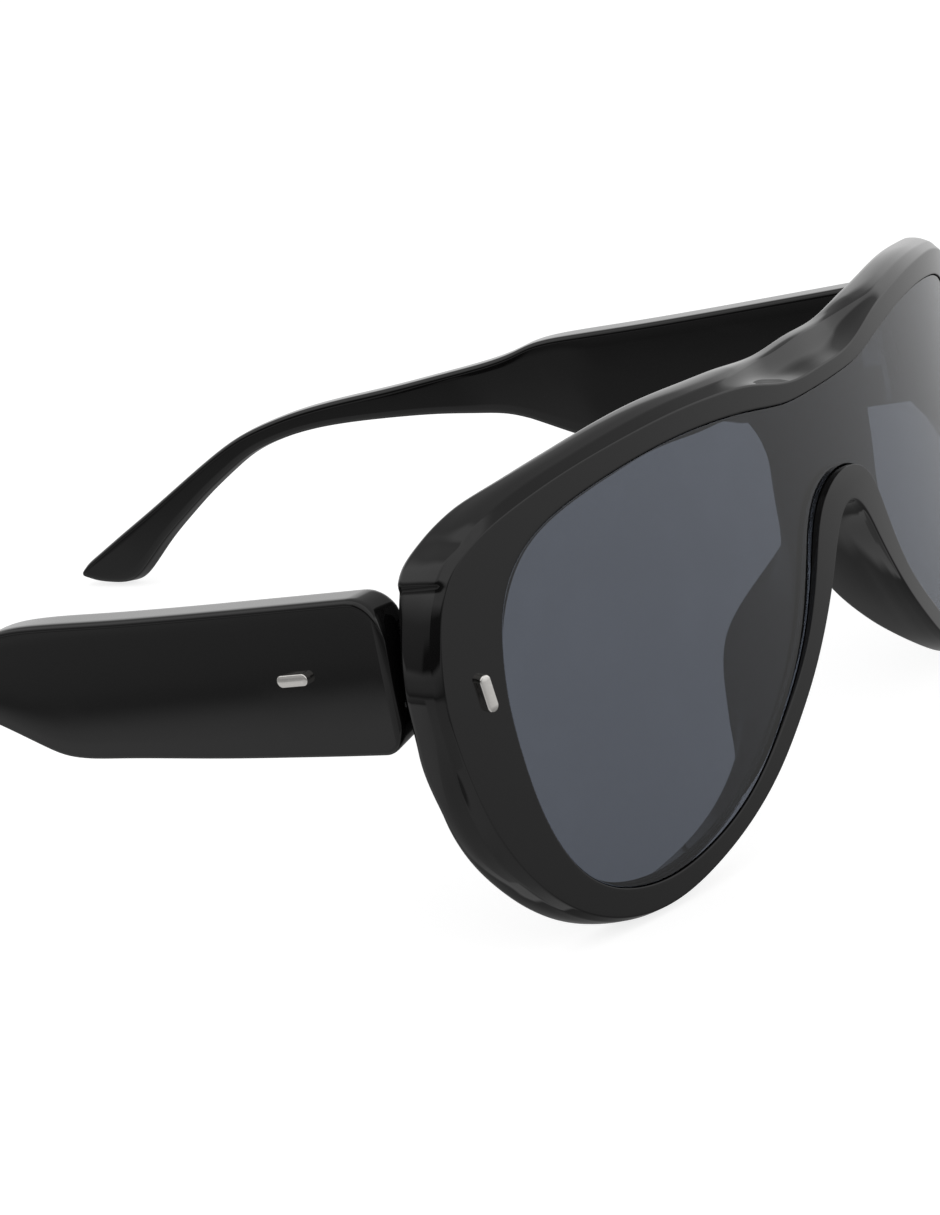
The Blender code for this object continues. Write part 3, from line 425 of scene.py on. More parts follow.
def merged_mesh(name: str, parts: list[tuple[Mesh, Matrix]]) -> Mesh:
    """Put several closed meshes into one.

    Args:
        name: name of the new mesh.
        parts: meshes, each with the matrix that puts it in place.

    Returns:
        The mesh that holds them all.
    """
    work = bmesh.new()
    for part, matrix in parts:
        start = len(work.verts)
        work.from_mesh(part)
        work.verts.ensure_lookup_table()
        bmesh.ops.transform(work, matrix=matrix, verts=work.verts[start:])
    bmesh.ops.recalc_face_normals(work, faces=work.faces)
    data = finished(work, name)
    keep_edges_sharp(data)
    return data


def soft_box(spans: tuple[Pair, Pair, Pair], edge: float) -> Mesh:
    """Make a box with rounded edges.

    Args:
        spans: where it starts and ends along x, y and z.
        edge: radius of the edges.

    Returns:
        The mesh.
    """
    work = bmesh.new()
    bmesh.ops.create_cube(work, size=1.0)
    low, high = (Vector(ends) for ends in zip(*(sorted(span) for span in spans)))
    middle, size = (low + high) / 2.0, high - low
    for vertex in work.verts:
        vertex.co = middle + vertex.co * size
    bmesh.ops.bevel(work, geom=work.edges[:], offset=edge, segments=3, profile=0.5, affect="EDGES")
    return finished(work, "soft_box")


def shown(name: str, data: bpy.types.ID) -> bpy.types.Object:
    """Put new data into the scene.

    Args:
        name: name of the object.
        data: its mesh or camera.

    Returns:
        The object.
    """
    item = bpy.data.objects.new(name, data)
    bpy.context.scene.collection.objects.link(item)
    return item


def evaluated_mesh(item: bpy.types.Object) -> Mesh:
    """Keep an object's mesh as its modifiers leave it."""
    depsgraph = bpy.context.evaluated_depsgraph_get()
    return bpy.data.meshes.new_from_object(item.evaluated_get(depsgraph), depsgraph=depsgraph)


def carved(data: Mesh, cutter: Mesh) -> Mesh:
    """Cut one mesh out of another.

    Args:
        data: the mesh that keeps its shape.
        cutter: what is taken away.

    Returns:
        The carved mesh.
    """
    kept, taken = (shown(mesh.name, mesh) for mesh in (data, cutter))
    modifier = kept.modifiers.new("cut", "BOOLEAN")
    modifier.operation, modifier.object = "DIFFERENCE", taken
    result = evaluated_mesh(kept)
    for item in (kept, taken):
        bpy.data.objects.remove(item)
    keep_edges_sharp(result)
    return result


def place_piece(name: str, data: Mesh, finish: Material, body: Body, node: str) -> None:
    """Show a finished mesh as a piece of the object in place of its CAD node.

    Args:
        name: name of the piece.
        data: its mesh, already where it belongs.
        finish: its material.
        body: the body that it rides on.
        node: CAD node that it stands for.
    """
    data.name = name
    data.materials.clear()
    data.materials.append(finish)
    piece = shown(name, data)
    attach(piece, body.value)
    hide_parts(node)
    logger.info("%s: %d faces, for %s", name, len(data.polygons), node)


@dataclass(frozen=True)
class Stand:
    """Where the front's own frame lies in the world, read from the CAD model's left hinge."""

    turn: Matrix
    shift: Vector

    @staticmethod
    def from_frame(hinge: Vector) -> "Stand":
        """Work out the place from the left hinge.

        Args:
            hinge: the left hinge in the front's own frame.

        Returns:
            The stand.
        """
        joint = next(row for row in frame["joints"] if row["name"] == "left_temple_fold")
        angle = math.atan2(-joint["axis"][1], joint["axis"][2])
        turn = Matrix.Rotation(angle, 4, "X")
        return Stand(turn, Vector(joint["pos_m"]) - turn @ hinge)

    @property
    def matrix(self) -> Matrix:
        """Matrix from the front's own frame to the world."""
        return Matrix.Translation(self.shift) @ self.turn

    def place(self, points: Rows) -> Rows:
        """Move points from the front's own frame to the world."""
        turn = np.array(self.turn.to_3x3())
        return points @ turn.T + np.array(self.shift)


@dataclass
class FrontShape:
    """The surfaces that the frame front and the lens share, in the front's own frame."""

    half_width: float = 0.0676
    height: float = 0.0525
    arch_height: float = 0.0367
    wrap_radius: float = 0.1650
    rim_depth: float = 0.0046
    end_depth: float = 0.00524
    # Where the back steps to the end blocks, in shares of the half width; their top, bottom and blend
    back_step: Pair = (0.74, 0.85)
    end_block: Triple = (0.0078, -0.0104, 0.0070)
    end_lift: float = 0.0035
    end_lift_span: Pair = (0.885, 0.950)
    wall_flare: float = 0.0038
    wall_start: float = 0.0026
    # The nose pads: how far they stand out behind, and where they come and go
    pad_rise: float = 0.0067
    pad_top: Pair = (0.0033, 0.0173)
    pad_foot: Pair = (0.0173, 0.0347)
    pad_reach: Pair = (0.0185, 0.0326)
    pad_flare: float = 0.20
    pad_eye_edge: float = 0.33
    pad_band: float = 0.0062
    lens_thickness: float = 0.0016
    lens_recess: float = 0.0002
    lens_gap_behind: float = 0.00045
    throat: float = 0.0035
    nose_lift: float = 0.0008
    nose_lift_span: float = 0.0300
    nose_lift_levels: Pair = (-0.0020, 0.0080)
    span_steps: int = 12
    fairing: int = 40
    # Loops of x and z, and what the walls flare or are cut back by beside them
    outline: Rows = field(init=False)
    flare: Rows = field(init=False)
    seam: Rows = field(init=False)
    opening: Rows = field(init=False)
    relief: Rows = field(init=False)

    def __post_init__(self) -> None:
        """Draw the outline, the seam and the left eye opening."""
        edge = self.mirrored(self.face_rows(OUTLINE_SHARES, self.wall_flare))
        drawn = smooth_loop(edge, self.span_steps, self.fairing)
        self.outline, self.flare = drawn[:, :2], drawn[:, 2:]
        self.seam = smooth_loop(self.mirrored(self.face_rows(SEAM_SHARES)), self.span_steps, self.fairing)
        drawn = smooth_loop(self.face_rows(OPENING_SHARES, self.throat), self.span_steps, self.fairing // 2)
        self.opening, self.relief = drawn[:, :2], drawn[:, 2]

    def face_rows(self, table: tuple[tuple[float, ...], ...], extra: float = 1.0) -> Rows:
        """Turn shares into the front's own x and z, and a third column into a length.

        Args:
            table: shares of the half width and of the height, and of the extra length.
            extra: the length that the third column is a share of.

        Returns:
            One row for each point.
        """
        rows = np.array(table)
        rows = rows * np.array([self.half_width, self.height, extra])[:rows.shape[1]]
        rows[:, 1] -= self.arch_height
        return rows

    @staticmethod
    def mirrored(half: Rows) -> Rows:
        """Close a half loop with its mirror image."""
        way = np.where(np.arange(half.shape[1]) == 0, -1.0, 1.0)
        return np.concatenate([half, half[-2:0:-1] * way])

    @property
    def joint_plane(self) -> float:
        """Depth of the plane where the temples meet the front."""
        return float(self.front_y(self.half_width)) + self.end_depth

    @property
    def floor_depth(self) -> float:
        """Depth of the ledge behind the lens."""
        return self.lens_recess + self.lens_thickness + self.lens_gap_behind

    def front_y(self, x: Rows | float) -> Rows:
        """Depth of the wrapped front face at x."""
        return self.wrap_radius - np.sqrt(self.wrap_radius ** 2 - np.square(x))

    def outwards(self, x: Rows, span: Pair) -> Rows:
        """Ease from 0 to 1 over a span of the half width."""
        return eased(np.abs(x), *(share * self.half_width for share in span))

    def pad_weight(self, x: Rows, z: Rows) -> Rows:
        """How much a nose pad shapes each place, from 0 to 1."""
        level = eased(-z, *self.pad_top) * (1.0 - eased(-z, *self.pad_foot))
        return level * (1.0 - eased(np.abs(x), *self.pad_reach))

    def lift(self, plan: Rows) -> Rows:
        """How far the rim round the nose arch stands in front of the wrapped face."""
        near = 1.0 - eased(np.abs(plan[:, 0]), 0.0, self.nose_lift_span)
        return self.nose_lift * near * (1.0 - eased(plan[:, 1], *self.nose_lift_levels))

    def back_depth(self, x: Rows, z: Rows, across: Rows | float = 0.0) -> Rows:
        """Depth of the back surface.

        Args:
            x: places across.
            z: places up.
            across: 0 at the outer edge, 1 at the eye opening.

        Returns:
            Depth behind the front face.
        """
        flat = self.joint_plane - self.front_y(x)
        top, bottom, blend = self.end_block
        bottom = bottom + self.end_lift * (1.0 - self.outwards(x, self.end_lift_span))
        step = self.outwards(x, self.back_step)
        step = step * (1.0 - eased(z, top, top + blend)) * eased(z, bottom - blend, bottom)
        rise = self.pad_rise * self.pad_weight(x, z) * mix(1.0, self.pad_eye_edge, across)
        return mix(np.minimum(self.rim_depth, flat), flat, step) + rise

    def spot(self, plan: Rows, depth: Rows, base: Rows | None = None, lean: Rows | float = 1.0) -> Rows:
        """Place points behind the front face; round the pads they lean outwards as they go back.

        Args:
            plan: x and z of the points.
            depth: how deep each lies.
            base: depth of the face that they are measured from, or their own if none is given.
            lean: share of the pads' lean.

        Returns:
            x, y and z of the points.
        """
        x, z = plan[..., 0], plan[..., 1]
        slide = self.pad_flare * self.pad_weight(x, z) * np.maximum(depth - self.wall_start, 0.0) * lean
        y = (self.front_y(x) if base is None else base) + depth
        return np.stack([x + np.sign(x) * slide, y, z], axis=-1)


@dataclass
class FrontPart:
    """A part of the front, whose points are found in the front's own frame."""

    shape: FrontShape
    stand: Stand
    finish: Material

    def weld(self, name: str, strip: list[Rows], sheets: tuple[Rows, ...], slot: Slot, node: str) -> None:
        """Weld a strip that runs right round to open sheets, and show them as a piece.

        Args:
            name: name of the piece.
            strip: its rows of points.
            sheets: grids of points.
            slot: the record's slot for its finish; not used.
            node: CAD node that it stands for.
        """
        patches = Patchwork()
        patches.grid(self.stand.place(np.stack(strip)), closed=True)
        for sheet in sheets:
            patches.grid(self.stand.place(sheet))
        place_piece(name, patches.mesh(name), self.finish, Body.FRONT, node)


@dataclass
class FrontFrame(FrontPart):
    """The frame front: rim, ledge, back plate, end blocks and moulded nose pads in one piece."""

    facets: int = 6
    seam_facets: int = 4
    shoulder_facets: int = 5
    seam_round: float = 0.00022
    nose_crispness: float = 0.8
    rim_rows: int = 6
    brow_levels: Pair = (0.0, 0.006)
    nose_span: Pair = (0.014, 0.030)
    face_round: float = 0.00018
    nose_round: float = 0.0015
    bevel_share: float = 0.6
    bevel_depth: float = 0.0010
    bevel_round: float = 0.00018
    bevel_rows: int = 4
    valley_span: Pair = (0.0085, 0.0215)
    valley_share: float = 0.97
    valley_depth: float = 0.0031
    valley_round: float = 0.0002
    valley_sag: float = 0.0004286
    shoulder_drop: float = 0.0008
    shoulder_lift: float = 0.5
    wall_round: float = 0.0012
    wall_rows: int = 6
    pad_bow: float = 1.8
    end_span: Pair = (0.90, 0.95)
    end_bevel: float = 0.00042
    end_creases: Pair = (0.0074, -0.0032)
    crease_depths: Pair = (0.00050, 0.00006)
    crease_widths: Pair = (0.00012, 0.0010)
    crease_fade: float = 0.0045
    back_round: float = 0.0009
    back_inset: float = 0.0020
    plate_rows: int = 14
    floor_rows: int = 7
    eye_round: float = 0.0006
    eye_margin: float = 0.0013
    least_margin: float = 0.3
    middle_rows: int = 26
    opening_middle: Pair = (0.033, -0.009)

    def edge_rows(self) -> tuple[list[Rows], Rows]:
        """Sweep the rim's profile round the front.

        Returns:
            Rows of points from the foot of the lens seat to the back plate, and the plan of the last.
        """
        shape, outline, seam, flare = self.shape, self.shape.outline, self.shape.seam, self.shape.flare
        normals, level, aside = loop_normals(outline), outline[:, 1], np.abs(outline[:, 0])
        base, back = shape.front_y(outline[:, 0]), shape.back_depth(outline[:, 0], level)
        end = shape.outwards(aside, self.end_span)
        extra = (end * self.crease_profile(level))[:, None]
        brow = eased(level, *self.brow_levels)
        valley = brow * (1.0 - eased(aside, *self.valley_span))
        nose = (1.0 - brow) * (1.0 - eased(aside, *self.nose_span))
        share = mix(self.bevel_share, self.valley_share, valley)[:, None]
        bevel_depth = mix(self.bevel_depth, self.valley_depth, valley)
        wall_depth = np.maximum(shape.wall_start, bevel_depth + self.shoulder_drop)

        def wall(offset: Rows, depth: Rows) -> Rows:
            """Place a ring of the outer wall behind the outline's own points."""
            return shape.spot(outline + normals * offset, depth, base)

        def face(plan: Rows) -> Rows:
            """Place points on the rim's face."""
            return shape.spot(plan, -shape.lift(plan))

        foot, sill = (shape.spot(seam, np.full(len(seam), depth))
                      for depth in (shape.floor_depth, shape.lens_recess))
        rim = [face(mix(seam, outline, s)) for s in inner_shares(self.rim_rows)]
        lip, crest, lift = face(seam), face(outline), shape.lift(outline)
        end_flare = extra + (self.end_bevel * end)[:, None]
        ridge = wall(flare * share + end_flare, bevel_depth - lift)
        shoulder = wall(flare + end_flare, wall_depth - self.shoulder_lift * lift)
        flare = flare + extra
        heel, plate = wall(flare, back), wall(flare - self.back_inset, back)
        lip_reach = self.seam_round * (1.0 - self.nose_crispness * shape.lift(seam) / shape.nose_lift)
        crest_reach = mix(self.face_round, self.nose_round, nose)[:, None]
        ridge_reach = self.bevel_round + self.valley_round * valley[:, None]
        lip_rows = rounded(sill, lip, rim[0], lip_reach[:, None], self.seam_facets)
        crest_rows = rounded(rim[-1], crest, ridge, crest_reach, self.facets)
        ridge_rows = rounded(crest, ridge, shoulder, ridge_reach, self.facets)
        shoulder_rows = rounded(ridge, shoulder, heel, self.wall_round, self.shoulder_facets)
        heel_rows = rounded(shoulder, heel, plate, self.back_round, self.facets)
        sunk = np.stack([-normals[:, 0], np.ones(len(normals)), -normals[:, 1]], axis=1)
        sag = self.valley_sag * valley[:, None] * sunk
        bevel_rows = [mix(crest_rows[-1], ridge_rows[0], s) + sag * 4.0 * s * (1.0 - s)
                      for s in inner_shares(self.bevel_rows)]
        fall = heel_rows[0] - shoulder_rows[-1]
        pads = shape.pad_weight(*(outline + normals * flare).T)[:, None]
        slide = fall * np.array([1.0, 0.0, 0.0]) * pads
        wall_rows = [shoulder_rows[-1] + fall * s - slide * (s - s ** self.pad_bow)
                     for s in inner_shares(self.wall_rows)]
        rows = [foot, sill, *lip_rows, *rim, *crest_rows, *bevel_rows, *ridge_rows, *shoulder_rows,
                *wall_rows, *heel_rows, plate]
        return rows, outline + normals * (flare - self.back_inset)

    def crease_profile(self, level: Rows) -> Rows:
        """How much further the wall flares past the two creases that bound the flat of an end block.

        Args:
            level: heights round the outline.

        Returns:
            Extra flare at each height.
        """
        (top, bottom), extra = self.end_creases, np.zeros(len(level))
        for past, depth, width in zip((level - top, bottom - level), self.crease_depths, self.crease_widths):
            extra += depth * eased(past, -width, width) * np.exp(-np.maximum(past, 0.0) / self.crease_fade)
        return extra

    def inner_plans(self, outer: Rows) -> tuple[Rows, Rows]:
        """Find the points of the eye opening in the same direction as each outer point.

        Args:
            outer: x and z round one half of the front.

        Returns:
            x and z on the opening's front edge, and on its back edge.
        """
        middle = np.array(self.opening_middle)
        spokes, away = self.shape.opening - middle, outer - middle
        angles, where = (np.arctan2(rays[:, 1], rays[:, 0]) for rays in (spokes, away))
        length, relief = (np.interp(where, angles, values, period=2.0 * math.pi)[:, None]
                          for values in (np.linalg.norm(spokes, axis=1), self.shape.relief))
        heading = np.stack([np.cos(where), np.sin(where)], axis=1)
        return middle + heading * length, middle + heading * (length + relief)

    def half_grid(self, rows: list[Rows], plan: Rows) -> Rows:
        """Make the ledge, the eye opening and the back plate of the left half.

        Args:
            rows: the swept rows of the rim.
            plan: x and z of the last row.

        Returns:
            A grid of points from the back plate round to the lens seat.
        """
        shape, half = self.shape, len(plan) // 2
        up = np.linspace(0.0, 1.0, self.middle_rows)[1:, None]
        outer, outer_spots, foot, foot_spots = (
            np.concatenate([points[:half + 1], mix(points[half], points[0], up)])
            for points in (plan, rows[-1], shape.seam, rows[0]))
        front_inner, inner = self.inner_plans(outer)
        width = np.linalg.norm(outer - inner, axis=1)[:, None]
        margin = np.clip(1.0 - self.eye_margin / width, self.least_margin, 1.0)

        def back_spot(points: Rows) -> Rows:
            """Place points of the back plate."""
            across = eased(-np.linalg.norm(points - inner, axis=1), -shape.pad_band, 0.0)
            return shape.spot(points, shape.back_depth(points[:, 0], points[:, 1], across))

        def floor_spot(points: Rows) -> Rows:
            """Place points of the ledge behind the lens."""
            return shape.spot(points, np.full(len(points), shape.floor_depth))

        slip, floor_slip = outer_spots - back_spot(outer), foot_spots - floor_spot(foot)
        plate = [back_spot(mix(outer, inner, margin * s)) + slip * (1.0 - s * margin) ** 2
                 for s in np.linspace(0.0, 1.0, self.plate_rows)]
        wall = rounded(plate[-1], back_spot(inner), floor_spot(front_inner), self.eye_round, self.facets)
        floor = [floor_spot(mix(foot, front_inner, s)) + floor_slip * (1.0 - s)
                 for s in np.linspace(1.0, 0.0, self.floor_rows)]
        return np.stack([*plate, *wall, *floor])

    def build(self) -> None:
        """Build the frame front and dress it."""
        rows, plan = self.edge_rows()
        half = self.half_grid(rows, plan)
        self.weld("frame_front", rows, (half, half * MIRROR), Slot.FRAME, "front_frame")


@dataclass
class ShieldLens(FrontPart):
    """The one-piece smoke lens, set into the front's seat."""

    edge_gap: float = 0.00013
    edge_bevel: float = 0.00007
    bevel_steps: Pairs = ((1.0, 0.0), (0.7, 0.09), (0.3, 0.45), (0.0, 1.0))
    half_columns: int = 160
    face_rows: int = 30

    def column_ends(self, inset: float) -> tuple[Rows, Rows]:
        """Find the top and bottom of each column of the lens.

        Args:
            inset: how far inside the seam the edge lies.

        Returns:
            x and z of the tops, and of the bottoms, from one end of the lens to the other.
        """
        seam = self.shape.seam
        half = (seam - loop_normals(seam) * inset)[:len(seam) // 2 + 1]
        tip = int(np.argmax(half[:, 0]))
        x = half[tip, 0] * np.sin(np.linspace(-0.5 * math.pi, 0.5 * math.pi, 2 * self.half_columns + 1))
        top, bottom = (np.stack([x, np.interp(np.abs(x), *edge.T)], axis=1)
                       for edge in (half[:tip + 1], half[tip:][::-1]))
        return top, bottom

    def surface(self, plan: Rows, behind: float) -> Rows:
        """Place points a distance behind the lens face."""
        return self.shape.spot(plan, np.asarray(self.shape.lens_recess + behind), lean=0.0)

    def build(self) -> None:
        """Build the lens and dress it."""
        thickness, bevel = self.shape.lens_thickness, self.edge_bevel
        profile = [(self.edge_gap + bevel * a, bevel * b) for a, b in self.bevel_steps]
        profile += [(inset, thickness - behind) for inset, behind in profile[::-1]]
        rings = []
        for inset, behind in profile:
            top, bottom = self.column_ends(inset)
            rings.append(self.surface(np.concatenate([top, bottom[-2:0:-1]]), behind))
        top, bottom = self.column_ends(profile[0][0])
        plan = mix(top, bottom, np.linspace(0.0, 1.0, self.face_rows + 1)[:, None, None])
        faces = (self.surface(plan, 0.0), self.surface(plan, thickness))
        self.weld("smoke_shield", rings, faces, Slot.LENS, "shield_lens")


@dataclass
class BondingBead(FrontPart):
    """The thin bead that bonds the lens to its ledge."""

    inset: float = 0.00025
    width: float = 0.00035
    gap: float = 0.00005

    def build(self) -> None:
        """Build the bead and dress it."""
        seam, normals = self.shape.seam, loop_normals(self.shape.seam)
        top = self.shape.lens_recess + self.shape.lens_thickness + self.gap
        foot = self.shape.floor_depth - self.gap
        corners = ((0.0, top), (self.width, top), (self.width, foot), (0.0, foot), (0.0, top))
        rings = [self.shape.spot(seam - normals * (self.inset + across), np.asarray(depth), lean=0.0)
                 for across, depth in corners]
        self.weld("bonding_bead", rings, (), Slot.FILM, "lens_bonding_strip")


@dataclass
class HingeLine:
    """Where the hinges stand, and how the temples leave them."""

    shape: FrontShape
    end_overhang: float = 0.00015
    temple_thickness: float = 0.0042
    seat_gap: float = 0.00025
    knuckle_radius: float = 0.0013
    leaf_thickness: float = 0.0009
    splay: float = 4.5
    slope: float = 5.5
    line_height: float = -0.00205

    @property
    def outer_reach(self) -> float:
        """Distance from the hinge to the temple's outer face."""
        return self.temple_thickness + self.seat_gap + self.knuckle_radius

    @property
    def place(self) -> Vector:
        """The left hinge in the front's own frame."""
        x = self.shape.half_width + self.end_overhang - self.outer_reach
        return Vector((x, self.shape.joint_plane + self.seat_gap + self.knuckle_radius, 0.0))

    @property
    def stand(self) -> Stand:
        """Where the front lies, so that its left hinge meets the CAD model's."""
        return Stand.from_frame(self.place)

    def seat(self, side: Side) -> Matrix:
        """Matrix from a hinge's own frame to the world."""
        return self.stand.matrix @ Matrix.Translation((side.value * self.place.x, self.place.y, 0.0))

    def pivot(self, side: Side) -> Matrix:
        """Matrix from the splayed hinge frame to the world."""
        return self.seat(side) @ Matrix.Rotation(side.value * math.radians(self.splay), 4, "Z")

    def temple(self, side: Side) -> Matrix:
        """Matrix from a temple's own frame to the world."""
        drop = Matrix.Translation((0.0, 0.0, self.line_height))
        return self.pivot(side) @ drop @ Matrix.Rotation(-math.radians(self.slope), 4, "X")


@dataclass
class Temple:
    """One wide temple, moulded in one piece from its hinge end to its tip."""

    hinge: HingeLine
    finish: Material
    length: float = 0.1438
    height: float = 0.0180
    thicknesses: Triple = (0.0042, 0.0030, 0.0034)
    thickness_fairing: int = 10
    edge_radius: float = 0.0008
    edge_share: float = 0.47
    top_corner: float = 0.0042
    bottom_corner: float = 0.0028
    crown: float = 0.00005
    cant: float = 0.0011
    cant_share: float = 0.1
    stations: int = 190
    end_stations: int = 22
    corner_steps: int = 6
    flat_steps: int = 8
    end_caps: tuple[int, int] = (4, 3)

    @staticmethod
    def drop(distance: float, radius: float) -> float:
        """How far a rounded corner has fallen at a distance from the end."""
        left = max(radius - distance, 0.0)
        return radius - math.sqrt(max(radius * radius - left ** 2, 0.0))

    def shares(self) -> Rows:
        """Choose the stations along the temple, closest together at its two ends.

        Returns:
            Shares of its length.
        """
        turn = np.linspace(0.0, 0.5 * math.pi, self.end_stations)
        front = self.top_corner * (1.0 - np.cos(turn))
        rear = self.length - self.edge_radius * (1.0 - np.cos(turn[::2]))
        body = np.linspace(front[-1], rear[-1], self.stations)[1:-1]
        return np.concatenate([front, body, rear[::-1]]) / self.length

    def rings(self, side: Side) -> Rows:
        """Make the sections of the temple, in its own frame.

        Args:
            side: which temple.

        Returns:
            Rings of points from the hinge end to the tip.
        """
        shares = self.shares()
        kinds = np.interp(shares, *np.array(TEMPLE_THICKNESS_SHARES).T)
        kinds = softened(kinds, self.thickness_fairing, False)
        thickness = np.interp(kinds, range(len(self.thicknesses)), self.thicknesses)
        tops, bottoms = (spline_at(rows[:, 0], rows[:, 1:], shares)[:, 0] * self.height
                         for rows in (np.array(TEMPLE_TOP_SHARES), np.array(TEMPLE_BOTTOM_SHARES)))
        outer = self.hinge.outer_reach
        rings = []
        for share, top, bottom, thick in zip(shares, tops, bottoms, thickness):
            distance = share * self.length
            inset = sum(self.drop(end, self.edge_radius) for end in (distance, self.length - distance))
            top -= self.drop(distance, self.top_corner) + inset
            bottom += self.drop(distance, self.bottom_corner) + inset
            if top - bottom < self.edge_radius:
                middle = (top + bottom) / 2.0
                top, bottom = middle + self.edge_radius / 2.0, middle - self.edge_radius / 2.0
            rings.append(self.ring((outer - thick + inset, outer - inset), (bottom, top), distance, side))
        return np.stack(rings)

    def ring(self, x_range: Pair, z_range: Pair, distance: float, side: Side) -> Rows:
        """Make one rounded section.

        Args:
            x_range: inner and outer face.
            z_range: lower and upper edge.
            distance: distance from the hinge end.
            side: which temple.

        Returns:
            Points round the section.
        """
        (x_low, x_high), (z_low, z_high) = x_range, z_range
        cant = min(self.cant, self.cant_share * (z_high - z_low))
        corners = np.array([(x_high, z_high), (x_low, z_high), (x_low, z_low + cant), (x_high, z_low)])
        radius = min(self.edge_radius, self.edge_share * min(x_high - x_low, z_high - z_low))
        shares = inner_shares(self.flat_steps)[:, None]
        points = []
        for index, corner in enumerate(corners):
            before, after = corners[index - 1], corners[(index + 1) % 4]
            bend = rounded(before[None], corner[None], after[None], radius, self.corner_steps)[:, 0]
            start = after + (corner - after) / np.linalg.norm(corner - after) * radius
            points += [bend, mix(bend[-1], start, shares)]
        points[-1][:, :1] += self.crown * 4.0 * shares * (1.0 - shares)
        plan = np.concatenate(points)
        slant = (plan[:, 0] * math.tan(math.radians(self.hinge.splay))
                 - plan[:, 1] * math.tan(math.radians(self.hinge.slope)))
        y = distance - self.hinge.knuckle_radius + slant * (1.0 - eased(distance, 0.0, self.height))
        return np.stack([side.value * plan[:, 0], y, plan[:, 1]], axis=1)

    def build(self, side: Side) -> None:
        """Build a temple and dress it.

        Args:
            side: which temple.
        """
        name, patches = f"wide_temple_{side.word}", Patchwork()
        patches.tube(self.rings(side), *self.end_caps)
        data = patches.mesh(name)
        data.transform(self.hinge.temple(side))
        place_piece(name, data, self.finish, Body.temple(side), f"temple_{side.word}")


class Wiring:
    """Short ways to add and join the nodes of one tree."""

    def __init__(self, tree: Tree) -> None:
        """Work on one tree."""
        self.tree = tree

    @classmethod
    def group(cls, family: str, name: str, inputs: dict[str, str], output: str,
              kind: str) -> tuple["Wiring", dict[str, Socket], Socket]:
        """Start a node group.

        Args:
            family: Geometry or Shader.
            name: name of the group.
            inputs: kind of each input, by name.
            output: name of its one result.
            kind: kind of that result.

        Returns:
            Its wiring, its inputs by name, and the socket that takes the result.
        """
        tree = bpy.data.node_groups.new(name, f"{family}NodeTree")
        for label, sort in inputs.items():
            tree.interface.new_socket(name=label, in_out="INPUT", socket_type=f"NodeSocket{sort}")
        tree.interface.new_socket(name=output, in_out="OUTPUT", socket_type=f"NodeSocket{kind}")
        given, result = tree.nodes.new("NodeGroupInput").outputs, tree.nodes.new("NodeGroupOutput").inputs
        return cls(tree), {label: given[label] for label in inputs}, result[output]

    def node(self, kind: str, inputs: dict[str, object] | None = None, **settings: object) -> Node:
        """Add a node.

        Args:
            kind: its type.
            inputs: values or sockets for its inputs, by name.
            settings: attributes to set on it.

        Returns:
            The node.
        """
        made = self.tree.nodes.new(kind)
        for key, value in settings.items():
            setattr(made, key, value)
        for key, value in (inputs or {}).items():
            self.feed(value, made.inputs[key])
        return made

    def first(self, kind: str, inputs: dict[str, object] | None = None, **settings: object) -> Socket:
        """Add a node and give its first result."""
        return self.node(kind, inputs, **settings).outputs[0]

    def feed(self, value: object, socket: Socket) -> None:
        """Give a socket a value, or a link from another socket.

        Args:
            value: the value or the other socket.
            socket: what takes it.
        """
        if isinstance(value, Socket):
            self.tree.links.new(value, socket)
        else:
            socket.default_value = value

    def math(self, operation: str, *terms: Socket | float) -> Socket:
        """Add a Math node.

        Args:
            operation: what it does.
            terms: sockets or numbers, in order.

        Returns:
            Its result.
        """
        made = self.node("ShaderNodeMath", operation=operation)
        for term, socket in zip(terms, made.inputs):
            self.feed(term, socket)
        return made.outputs[0]

    def ramp(self, value: Socket, span: Pair) -> Socket:
        """Ease from 0 at the start of a span to 1 at its end."""
        return self.first("ShaderNodeMapRange", {"Value": value, "From Min": span[0], "From Max": span[1]},
                          interpolation_type="SMOOTHSTEP")

    def levels(self, angle: Socket, rows: Pairs) -> Socket:
        """Read a level that changes with an elevation angle.

        Args:
            angle: the elevation in radians.
            rows: degrees and the level there, from -90 to 90.

        Returns:
            The level's socket.
        """
        share = self.math("MULTIPLY_ADD", angle, 1.0 / math.pi, 0.5)
        curve = self.node("ShaderNodeFloatCurve", {"Value": share})
        points = curve.mapping.curves[0].points
        peak = max(level for _, level in rows)
        spots = [(degrees / 180.0 + 0.5, level / peak) for degrees, level in rows]
        points[0].location, points[1].location = spots[0], spots[-1]
        for spot in spots[1:-1]:
            points.new(*spot)
        for point in points:
            point.handle_type = "VECTOR"
        curve.mapping.update()
        return self.math("MULTIPLY", curve.outputs["Value"], peak)

    def blend(self, share: Socket, first: object, second: object, kind: str = "FLOAT") -> Socket:
        """Mix two numbers or colours by a share.

        Args:
            share: 0 for the first, 1 for the second.
            first: value or socket.
            second: value or socket.
            kind: FLOAT or RGBA.

        Returns:
            The mixed value.
        """
        made = self.node("ShaderNodeMix", data_type=kind)
        used, results = ([socket for socket in row if socket.enabled] for row in (made.inputs, made.outputs))
        for value, socket in zip((share, first, second), used):
            self.feed(value, socket)
        return results[0]

    def seen(self) -> Socket:
        """Tell where the camera looks straight or through the lens."""
        path = self.node("ShaderNodeLightPath").outputs
        return self.math("MAXIMUM", path["Is Camera Ray"], path["Is Transmission Ray"])


